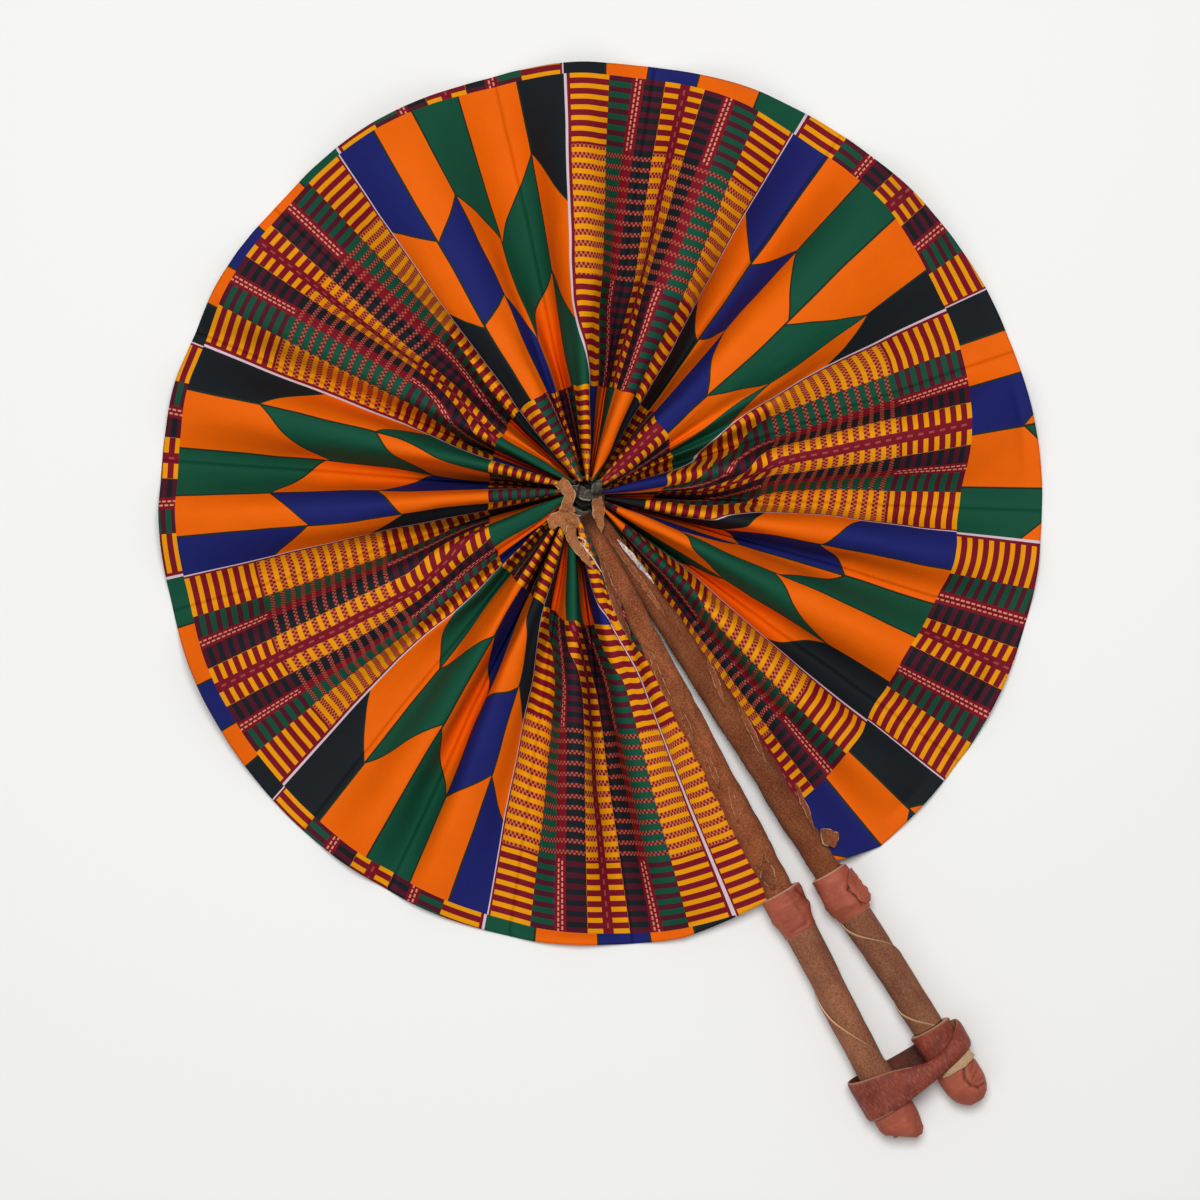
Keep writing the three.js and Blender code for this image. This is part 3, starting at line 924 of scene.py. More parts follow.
@dataclass
class Cloth:
    """The printed strip, gathered round the pivot in unequal pleats and sewn to both sleeves."""

    line: HandleLine
    rim_radius: float = 172.8 * MM
    rim_centre: Pair = (3.8 * MM, -5.8 * MM)
    depth: float = 1.2 * MM
    thickness: float = 0.55 * MM
    slack: float = 1.01
    fullest_spread: float = 0.99
    uneven: float = 1.4  # how much wider a panel may fold than the pleat's narrower one
    ridge_height: float = 27 * MM
    centre_dip: float = 0.3
    dip_radius: float = 38 * MM
    gather_radius: float = 8.4 * MM
    # Where each pleat's ridge and far valley lie, in degrees
    folds: tuple = (
        (17.4, 24.1), (31.3, 40.0), (52.1, 56.8), (62.0, 70.4), (96.1, 104.7), (116.9, 125.1),
        (134.0, 143.1), (149.3, 163.0), (180.9, 197.9), (208.7, 219.4), (231.2, 245.5),
        (256.4, 281.5), (288.8, 302.0), (309.5, 316.2), (326.2, 335.5), (343.6, 350.1),
    )
    column: float = 1.3 * MM
    rows: int = 110
    profile_steps: int = 80
    steepest: float = 1.53
    # How softly a panel turns at its ridge and valley, near the centre and at the rim
    ridge_bend: Pair = (0.05, 0.6)
    valley_bend: Pair = (0.015, 0.45)
    height_blend: float = 4.0  # how sharply a free height gives way to the ridge height
    small_fold: float = 24 * MM
    small_fold_height: float = 8 * MM
    small_fold_end: float = 118 * MM
    wrinkle: float = 0.9 * MM
    meander: float = 1.8 * MM
    meander_span: Pair = (40 * MM, 110 * MM)
    rim_wander: float = 1.1 * MM
    print_wander: float = 2.4 * MM
    inner_radius: float = 5.8 * MM  # of the gathered edge, on the side away from the handles
    floor_gap: float = 0.1 * MM
    # X of the first and last closed fold, at the two distances from the pivot
    closed_distances: Pair = (7 * MM, 172 * MM)
    closed_near: Pair = (-5.5 * MM, -6.5 * MM)
    closed_far: Pair = (-20.0 * MM, -36.5 * MM)
    tuck: float = 1.2 * MM  # of the cloth's ends, under the sleeves' leather
    # Near the hub the folds lie elsewhere in the print: how far along the strip and how much
    # further in, in millimetres by degrees, and the distances where that fades out
    hub_slide: tuple = (
        (0, -20), (17, -25), (31, -20), (52, -17), (62, 0), (80, 0), (96, -17), (112, 0), (120, 0),
        (134, 12), (149, 28), (165, 10), (181, 0), (200, -4), (209, -10), (231, 0), (256, 0),
        (270, -15), (289, -38), (309, -20), (326, 0), (344, 10), (360, 0),
    )
    slide_fade: Pair = (34 * MM, 78 * MM)
    hub_drop: tuple = ((0, 4.5), (300, 4.5), (322, -4), (360, -1))
    drop_end: float = 42 * MM
    # The print: its first block's start and width in degrees, and the outer row's depth by degrees
    block_start: float = 10.48
    block_degrees: float = 32.81
    block_height: float = 122 * MM
    outer_row: tuple = (
        (0, 3), (5, 3), (59, 7), (109, 7), (175, 3), (220, 5), (245, 10), (274, 18), (306, 33),
        (330, 41), (354, 34), (360, 34),
    )
    sleeve_end: float = 172.0 * MM
    profiles: list = field(default_factory=list)

    @property
    def length(self) -> float:
        """The cloth's length from the gathered edge to the rim."""
        return self.rim_radius - self.gather_radius

    @property
    def block_width(self) -> float:
        """The width of a block of the print."""
        return radians(self.block_degrees) * self.rim_radius

    def pleats(self) -> list[Pleat]:
        """Every pleat.

        Returns:
            The pleats, clockwise from the left handle.
        """
        starts = [0.0] + [valley for _, valley in self.folds]
        return [
            Pleat(number, start, ridge, valley, number == len(self.folds))
            for number, (start, (ridge, valley)) in enumerate(zip(starts, self.folds), 1)
        ]

    def width(self, start: float, end: float) -> float:
        """The cloth's width between two angles."""
        return self.slack * self.rim_radius * radians(end - start)

    def edge_x(self, side: Side, distance: float) -> float:
        """X of the cloth's end beside a sleeve, in metres."""
        reach = distance / MM
        wide = MM * (self.line.sleeve(side, reach)[0] + self.line.gap) - self.tuck
        return MM * self.line.across(side, reach) + side.value * wide

    def gather_start(self, side: Side) -> float:
        """The angle that a stick takes of the gathered edge."""
        across = abs(self.edge_x(side, self.line.start * MM))
        return asin(across / self.gather_radius)

    def cloth_span(self, pleat: Pleat) -> Pair:
        """Where the pleat's cloth lies at the rim.

        Args:
            pleat: The pleat.

        Returns:
            The angles of its ends, in degrees.
        """
        left, right = (
            degrees(atan(abs(self.edge_x(side, self.sleeve_end)) / self.sleeve_end))
            for side in Side
        )
        return max(pleat.start, left), 360 - right if pleat.last else pleat.end

    def edge_point(self, side: Side, reach: float) -> tuple[float, float, float]:
        """A point of the cloth's end.

        Args:
            side: Beside which handle.
            reach: How far out it is, from the centre at 0 to the rim at 1.

        Returns:
            Its X, Y and Z.
        """
        across = self.edge_x(side, self.line.start * MM)
        start = sqrt(self.gather_radius**2 - across**2)
        distance = mix(start, self.sleeve_end, reach)
        height = MM * self.line.height(side, distance / MM) + self.depth / 2
        return self.edge_x(side, distance), -distance, height

    def profile(self, spread: float) -> list[Pair]:
        """How a panel falls from its ridge to its valley when the gathering leaves it less room.

        Near the rim both are soft waves; near the centre the ridge is narrow, the wall straight
        and steep, and the valley sharp.

        Args:
            spread: The room across, as a share of the panel's width.

        Returns:
            At even steps across the cloth, the share of the room passed and of the height lost.
        """
        loose = rise(spread, 0.3, 0.95)
        ridge, valley = (mix(*bends, loose) for bends in (self.ridge_bend, self.valley_bend))
        places = ((i + 0.5) / self.profile_steps for i in range(self.profile_steps))
        slopes = [(1 - exp(-t / ridge)) * (1 - exp((t - 1) / valley)) for t in places]
        low, high = 0.0, self.steepest / max(slopes)
        for _ in range(24):
            middle = (low + high) / 2
            room = sum(cos(middle * slope) for slope in slopes) / len(slopes)
            low, high = (middle, high) if room > spread else (low, middle)
        across, fall = [0.0], [0.0]
        for slope in slopes:
            across.append(across[-1] + cos(high * slope))
            fall.append(fall[-1] + sin(high * slope))
        return [(a / across[-1], f / fall[-1]) for a, f in zip(across, fall)]

    def reaches(self) -> list[float]:
        """Where the rows lie, from the centre at 0 to the rim at 1, closer towards the rim."""
        shares = [i / self.rows for i in range(self.rows + 1)]
        return [0.35 * sin(pi / 2 * share) + 0.65 * share for share in shares]

    def panels(self, pleat: Pleat) -> list[tuple[float, float, str]]:
        """The panels between the pleat's ends and its ridge.

        Args:
            pleat: The pleat.

        Returns:
            For each its limits in degrees and what it does clockwise.
        """
        first = "off sleeve" if pleat.number == 1 else "rise"
        start, end = self.cloth_span(pleat)
        panels = [(start, pleat.ridge, first), (pleat.ridge, pleat.end, "fall")]
        return panels + [(pleat.end, end, "on sleeve")] if pleat.last else panels

    def cross_section(self, pleat: Pleat, profile: Rows) -> list[dict[str, float]]:
        """What holds for each column of the pleat's strip in one row.

        Args:
            pleat: The pleat.
            profile: How the panels fall there.

        Returns:
            For each column its place in the print, the angle where it is laid, its lift from
            valley to ridge, its small folds, how far it holds to a sleeve in plan and in height,
            where the outer row of blocks ends there, and how the print lies near the hub.
        """
        columns = []
        panels = self.panels(pleat)
        tables = {"row": self.outer_row, "slide": self.hub_slide, "drop": self.hub_drop}
        for index, (start, end, way) in enumerate(panels):
            width = self.width(start, end)
            steps = max(8, round(width / self.column))
            waves = round(width / self.small_fold - 0.5)
            for step in range(steps + (index == len(panels) - 1)):
                t = step / steps
                off_ridge = t if way == "fall" else 1 - t
                room, fall = read_rows(profile, off_ridge * (len(profile) - 1))
                passed = room if way == "fall" else 1 - room
                place = mix(start, end, t)
                laid, lift, hold, sag = mix(start, end, passed), 1 - fall, 0.0, 0.0
                if way == "off sleeve":
                    laid, lift, hold, sag = end, 1.0, room, fall
                elif way == "on sleeve":
                    laid, lift, hold, sag = start, 0.0, t, rise(t, -0.1, 1.0)
                ripple = (1 - cos(tau * max(waves, 0) * t)) / 2
                columns.append({
                    "strip": (place - self.block_start) / self.block_degrees,
                    "angle": radians(laid),
                    "lift": lift,
                    "ripple": ripple * rise(off_ridge, 0.15, 0.7) * rise(width, 0.02, 0.05),
                    "hold": hold,
                    "sag": sag,
                    **{name: MM * read_table(table, place) for name, table in tables.items()},
                })
        return columns

    def strip(self, pleat: Pleat) -> Object:
        """The pleat's piece of the strip, flat, with what the gathering needs on each point.

        Args:
            pleat: The pleat.

        Returns:
            The flat piece.
        """
        side = Side.LEFT if pleat.number == 1 else Side.RIGHT
        points, edges, values = [], [], {}
        for reach, profile in zip(self.reaches(), self.profiles):
            section = self.cross_section(pleat, profile)
            edges.extend(self.edge_point(side, reach) * len(section))
            for column in section:
                points.append((column["strip"] * self.block_width, reach * self.length, 0))
                for name, value in (*column.items(), ("reach", reach)):
                    values.setdefault(name, []).append(value)
        mesh = bpy.data.meshes.new(pleat.name + "_strip")
        mesh.from_pydata(points, [], grid_faces(self.rows + 1, len(section), False, False))
        for name, numbers in values.items():
            mesh.attributes.new(name, "FLOAT", "POINT").data.foreach_set("value", numbers)
        mesh.attributes.new("edge", "FLOAT_VECTOR", "POINT").data.foreach_set("vector", edges)
        return link(pleat.name + "_cloth", mesh)

    def gathering(self, material: Material) -> Inputs:
        """The Geometry Nodes tree that gathers a flat strip round the pivot.

        Each fold runs straight from the gathered edge to the rim. A panel keeps its width from the
        centre to the rim, so its ridge sinks as the circle widens.

        Args:
            material: The cloth's finish.

        Returns:
            The tree's inputs. The panel width is set for each pleat.
        """
        tree = bpy.data.node_groups.new("gather_round_pivot", "GeometryNodeTree")
        names = (
            "rim_radius gather_radius inner_radius ridge_height small_fold_height wrinkle meander "
            "rim_wander print_wander block_width block_height"
        )
        sizes = Inputs(tree, {
            "Rim X": self.rim_centre[0],
            "Rim Y": self.rim_centre[1],
            "Left Start": self.gather_start(Side.LEFT),
            "Right Start": self.gather_start(Side.RIGHT),
            "Panel Width": 30 * MM,
            **{name.replace("_", " ").title(): getattr(self, name) for name in names.split()},
        })
        angle, reach, lift, ripple, hold, sag, row, strip, slide, drop = (
            Reading(tree, attribute(tree, name))
            for name in "angle reach lift ripple hold sag row strip slide drop".split()
        )
        loose = hold * -1.0 + 1.0

        near_handles = (angle.reckon("COSINE") * 0.5 + 0.5).reckon("POWER", 2.0)
        gather = sizes["Inner Radius"]
        gather = gather + (sizes["Gather Radius"] - gather) * near_handles
        begin, end = sizes["Left Start"], sizes["Right Start"] * -1.0 + tau
        inner = begin + (end - begin) * (angle / tau)
        out_x, out_y = angle.reckon("SINE") * -1.0, angle.reckon("COSINE") * -1.0
        start_x = gather * inner.reckon("SINE") * -1.0
        start_y = gather * inner.reckon("COSINE") * -1.0
        along = sizes["Rim X"] * out_x + sizes["Rim Y"] * out_y
        across = sizes["Rim X"] * out_y - sizes["Rim Y"] * out_x
        rim = along + (sizes["Rim Radius"].reckon("POWER", 2.0) - across * across).reckon("SQRT")
        rim = rim + cloud(out_x * 4.0, out_y * 4.0, 0.3) * sizes["Rim Wander"]
        x = start_x + (out_x * rim - start_x) * reach
        y = start_y + (out_y * rim - start_y) * reach
        fold_angle = (x * -1.0).reckon("ARCTAN2", y * -1.0)
        fold_distance = (x * x + y * y).reckon("SQRT")

        edge = add_node(tree, "ShaderNodeSeparateXYZ", {0: attribute(tree, "edge", "FLOAT_VECTOR")})
        edge_x, edge_y, edge_z = (Reading(tree, edge.outputs[i]) for i in range(3))
        edge_angle = (edge_x * -1.0).reckon("ARCTAN2", edge_y * -1.0)
        edge_distance = (edge_x * edge_x + edge_y * edge_y).reckon("SQRT")
        sway = cloud(out_x * 5.0, out_y * 5.0, reach * 3.0) * sizes["Meander"] / fold_distance
        sway = sway * fold_distance.step(self.gather_radius, self.meander_span[0])
        sway = sway * fold_distance.step(self.rim_radius, self.meander_span[1])
        turn = fold_angle + (edge_angle - fold_angle) * hold + sway * loose
        distance = fold_distance + (edge_distance - fold_distance) * hold

        spread = fold_distance / (self.slack * self.rim_radius)
        spread = spread.reckon("MINIMUM", self.fullest_spread)
        free = sizes["Panel Width"] * ((spread * spread) * -1.0 + 1.0).reckon("SQRT")
        top = sizes["Ridge Height"].reckon("MINIMUM", sizes["Panel Width"])
        power = -self.height_blend
        limited = free.reckon("POWER", power) + top.reckon("POWER", power)
        limited = limited.reckon("POWER", 1 / power)
        dip = fold_distance.step(self.gather_radius, self.dip_radius)
        height = limited * (dip * self.centre_dip + (1 - self.centre_dip))
        rest = height * lift + self.depth
        small = distance.step(self.small_fold_end, self.gather_radius * 3)
        small = small * distance.step(self.gather_radius, self.gather_radius * 2.4)
        z = rest + (edge_z - rest) * sag + ripple * small * sizes["Small Fold Height"]

        # Creases run outwards: they are close together near the hub and wider towards the rim
        stretch = distance.reckon("POWER", 0.35) * 16.0
        sine, cosine = turn.reckon("SINE"), turn.reckon("COSINE")
        creases = cloud(sine * stretch, cosine * stretch, distance * 11.0) * sizes["Wrinkle"]
        z = z + creases * (loose * (lift * 0.75 + 0.25))
        z = z.reckon("MAXIMUM", self.thickness + self.floor_gap)

        feeds = {0: sine * distance * -1.0, 1: cosine * distance * -1.0, 2: z}
        place = add_node(tree, "ShaderNodeCombineXYZ", feeds).outputs[0]
        feeds = {"Geometry": sizes.node.outputs["Mesh"], "Position": place}
        moved = add_node(tree, "GeometryNodeSetPosition", feeds).outputs[0]

        drift = cloud(strip * 4.5, reach * 2.5, 0.7) * sizes["Print Wander"]
        drift = drift * reach.step(1.0, 0.6)
        drop = drop * distance.step(self.drop_end, self.gather_radius)
        print_row = (rim - distance - row + drift + drop) / sizes["Block Height"]
        slid = strip + slide * distance.step(*reversed(self.slide_fade)) / sizes["Block Width"]
        print_place = add_node(tree, "ShaderNodeCombineXYZ", {0: slid, 1: print_row}).outputs[0]
        mapped = add_node(
            tree, "GeometryNodeStoreNamedAttribute", {"Geometry": moved, "Name": "print"},
            data_type="FLOAT2", domain="CORNER",
        )
        tree.links.new(print_place, mapped.inputs["Value"])
        finish_tree(tree, mapped.outputs[0], material)
        return sizes

    def flatten(self, piece: Object, behaviour: dict, body: str) -> None:
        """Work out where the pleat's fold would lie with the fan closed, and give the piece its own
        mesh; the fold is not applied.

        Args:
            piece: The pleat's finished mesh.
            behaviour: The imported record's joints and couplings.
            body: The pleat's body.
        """
        share = next(c["ratio"] for c in behaviour["couplings"] if c["joint"] == f"{body}_turn")
        opening = next(j for j in behaviour["joints"] if j["name"] == "fan_opening")
        turn = Matrix.Rotation(-radians(share * opening["range_deg"][1]), 3, "Z")
        near, far = (
            turn @ Vector((mix(*ends, share), -distance, 0))
            for ends, distance in zip((self.closed_near, self.closed_far), self.closed_distances)
        )
        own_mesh(piece)

    def build(self, finishes: Finishes, behaviour: dict) -> None:
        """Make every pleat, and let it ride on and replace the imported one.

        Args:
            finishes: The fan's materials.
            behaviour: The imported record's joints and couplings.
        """
        sizes = self.gathering(finishes.cotton)
        inner = self.gather_radius / self.rim_radius
        self.profiles = [
            self.profile(min(mix(inner, 1.0, reach) / self.slack, self.fullest_spread))
            for reach in self.reaches()
        ]
        for pleat in self.pleats():
            start, end = self.cloth_span(pleat)
            before, after = self.width(start, pleat.ridge), self.width(pleat.ridge, pleat.end)
            widest = self.uneven * min(before, after)
            piece = self.strip(pleat)
            gather = piece.modifiers.new("gather", "NODES")
            gather.node_group = sizes.tree
            gather[sizes.identifiers["Panel Width"]] = min((before + after) / 2, widest)
            solid = piece.modifiers.new("thickness", "SOLIDIFY")
            solid.thickness = self.thickness
            solid.offset = -1.0
            piece = settle(piece)
            flat = (self.width(start, end), self.length)
            dress(piece, pleat.name, "cotton", pleat.name)
            self.flatten(piece, behaviour, pleat.name)


@dataclass(frozen=True)
class Groove:
    """A straight crease on a handle piece, between two points given across and along it.

    Across is a share of the half width, from -1 at the left to 1 at the right, and along is the
    distance from the piece's start. A negative depth makes a ridge.
    """

    across: float
    along: float
    far_across: float
    far_along: float
    depth: float
    width: float

    def reach(self, across: float, along: float, half_width: float) -> float:
        """How near a point is to the crease: 1 on it, fading to 0.

        Args:
            across: The point's share of the half width.
            along: Its distance from the piece's start.
            half_width: Half the width of the piece.

        Returns:
            The nearness.
        """
        start = Vector((self.across * half_width, self.along))
        way = Vector((self.far_across * half_width, self.far_along)) - start
        point = Vector((across * half_width, along)) - start
        t = min(max(point.dot(way) / way.length_squared, 0.0), 1.0)
        return exp(-(((point - way * t).length / self.width) ** 2))


def loft(
    name: str, rings: Sequence[list[Vector]], closed: bool, material: Material, cut: Row = ()
) -> Object:
    """Join rings of equal length into a closed solid.

    Args:
        name: The piece's name.
        rings: The rings, each with its points in order.
        closed: Whether the last ring joins the first; if not, both ends are closed by a fan.
        material: The finish.
        cut: Which points are on a cut edge, ring by ring.

    Returns:
        The piece.
    """
    sides = len(rings[0])
    points = [point for ring in rings for point in ring]
    faces = grid_faces(len(rings), sides, closed, True)
    if not closed:
        for first in (0, (len(rings) - 1) * sides):
            points.append(sum(points[first : first + sides], Vector()) / sides)
            pole = len(points) - 1
            for j in range(sides):
                a, b = first + j, first + (j + 1) % sides
                faces.append((a, b, pole) if first else (b, a, pole))
        cut = cut and [*cut, 0.0, 0.0]
    return new_object(name, points, outward(points, faces), material, cut)


class Ground:
    """What lies under a strip of leather that is laid on the fan. Millimetres."""

    half_width = 28 * MM
    above = 60.0

    def __init__(self, pieces: Sequence[Object]) -> None:
        """Take the faces that lie near the handles.

        Args:
            pieces: What the leather may lie on.
        """
        points, faces = [], []
        for piece in pieces:
            base = len(points)
            points += [vertex.co for vertex in piece.data.vertices]
            faces += [
                [base + k for k in face.vertices]
                for face in piece.data.polygons
                if abs(face.center.x) < self.half_width
            ]
        self.tree = BVHTree.FromPolygons(points, faces)

    def height(self, x: float, y: float) -> float:
        """Z of the uppermost face there, 0 if there is none."""
        place = self.tree.ray_cast(MM * Vector((x, y, self.above)), Vector((0, 0, -1)))[0]
        return place.z / MM if place else 0.0

    def drape(self, rows: Sequence[Rows], slope: float = 0.8, window: int = 4) -> Rows:
        """Heights at which soft leather comes to rest on a grid of places.

        Args:
            rows: The places, x and y, row by row.
            slope: How steeply the leather falls from what holds it up.
            window: How many places away it still feels that.

        Returns:
            A height for each place.
        """
        under = [[self.height(*place) for place in row] for row in rows]
        heights = []
        for i, row in enumerate(rows):
            near_rows = range(max(0, i - window), min(len(rows), i + window + 1))
            heights.append([
                max(
                    under[k][m] - slope * dist(rows[k][m], place)
                    for k in near_rows
                    for m in range(max(0, j - window), min(len(row), j + window + 1))
                )
                for j, place in enumerate(row)
            ])
        return heights


@dataclass(frozen=True)
class Ribbon:
    """A strip of thin leather that runs through stations, in millimetres.

    It is laid on the ground, clear of it by its lift, and nowhere lower than its least height.
    """

    # Each station: x and y of its middle, half its width and how far it is rolled, in degrees
    stations: Rows
    thickness: float = 0.9
    curl: float = 0.4
    lift: float = 0.6
    pale: bool = False
    steps: int = 14
    columns: int = 10
    least_half: float = 0.15
    height: float = 15.0
    reseed: float = 3.7

    def rise_clear(self, centres: list[Vector], halves: list[float], ground: Ground) -> None:
        """Lift the middle line until the strip clears the ground.

        Args:
            centres: The points of the middle line.
            halves: Half the strip's width at each.
            ground: What it is laid on.
        """
        rows = []
        for i, centre in enumerate(centres):
            ahead = centres[min(i + 1, len(centres) - 1)] - centres[max(i - 1, 0)]
            side = Vector((ahead.y, -ahead.x, 0)).normalized() * halves[i]
            spots = (centre + side * share for share in (-0.8, -0.4, 0.0, 0.4, 0.8))
            rows.append([(spot.x, spot.y) for spot in spots])
        heights = [max(row) for row in ground.drape(rows, 0.7, 12)]
        for _ in range(3):
            heights = [
                (heights[max(i - 1, 0)] + 2 * high + heights[min(i + 1, len(heights) - 1)]) / 4
                for i, high in enumerate(heights)
            ]
        for centre, high in zip(centres, heights):
            centre.z = max(centre.z, high + self.lift)

    def shape(self, ground: Ground, seed: float) -> Strip:
        """Lay the strip on the fan.

        Args:
            ground: What it is laid on.
            seed: Which wrinkles it gets.

        Returns:
            Its points and their cut edges.
        """
        total = (len(self.stations) - 1) * self.steps
        stations = [follow(self.stations, i / self.steps) for i in range(total + 1)]
        centres = [Vector((x, y, self.height)) for x, y, _, _ in stations]
        halves = [max(station[2], self.least_half) for station in stations]
        self.rise_clear(centres, halves, ground)
        points, cut = [], []
        for i, (centre, half) in enumerate(zip(centres, halves)):
            ahead = (centres[min(i + 1, total)] - centres[max(i - 1, 0)]).normalized()
            side = ahead.cross(Vector((0, 0, 1))).normalized()
            up = side.cross(ahead)
            roll = radians(stations[i][3])
            side, up = side * cos(roll) + up * sin(roll), up * cos(roll) - side * sin(roll)
            for top in (1, -1):
                for j in range(self.columns + 1):
                    t = (j / self.columns * 2 - 1) * top
                    body = 0.5 * top * (1 - 0.35 * t**6) + self.curl * (1 - t * t)
                    point = centre + side * (t * half) + up * (self.thickness * body)
                    wave = puckers(point, 3.0, seed) * 0.45 + puckers(point, 1.2, seed) * 0.15
                    points.append(MM * (point + up * wave + side * (wave * 0.9)))
                    edge = abs(t) > 0.99 and puckers(point, 2.0, seed) > -0.15
                    cut.append(float(self.pale or edge))
        return points, cut


def lay(
    name: str, strips: Sequence[Flap | Ribbon], material: Material, ground: Ground,
    seed: float = 1.3,
) -> Object:
    """Lay strips of leather on the fan as one piece.

    Args:
        name: The piece's name.
        strips: The strips.
        material: Their leather.
        ground: What they are laid on.
        seed: Which wrinkles the first one gets.

    Returns:
        The piece.
    """
    points, faces, cuts = [], [], []
    for number, strip in enumerate(strips):
        own, cut = strip.shape(ground, number * strip.reseed + seed)
        sides = 2 * strip.columns + 2
        tube = grid_faces(len(own) // sides, sides, False, True)
        tube += [tuple(range(sides - 1, -1, -1)), tuple(range(len(own) - sides, len(own)))]
        faces += [tuple(len(points) + k for k in face) for face in outward(own, tube)]
        points += own
        cuts += cut
    return new_object(name, points, faces, material, cuts)


def soil(piece: Object, level: float, hidden: float = 0.0, shade: Row = ()) -> None:
    """Darken a leather piece with wear and painted shade, on top of what it has been darkened
    before.

    Args:
        piece: The piece.
        level: How worn it is all over, from 0 to 1.
        hidden: How far from the pivot, in millimetres, painted shade of the folds darkens it.
        shade: How dark painted shade makes its first vertices, from 0 to 1.
    """
    attributes = piece.data.attributes
    layer = attributes.get("soil") or attributes.new("soil", "FLOAT", "POINT")
    for index, vertex in enumerate(piece.data.vertices):
        # deep: painted shade of the folds, darkest at the pivot
        deep = 0.85 * (1 - rise(-vertex.co.y / MM, 8.0, hidden)) if hidden else 0.0
        own = shade[index] if index < len(shade) else 0.0
        layer.data[index].value = max(layer.data[index].value, level, deep, own)


def dress(piece: Object, body: str, slot: str, *nodes: str) -> None:
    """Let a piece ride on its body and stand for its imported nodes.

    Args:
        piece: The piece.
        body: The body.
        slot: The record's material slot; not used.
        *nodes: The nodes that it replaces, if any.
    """
    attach(piece, body)
    if nodes:
        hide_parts(*nodes)
    log.info("%s: %d faces", piece.name, len(piece.data.polygons))


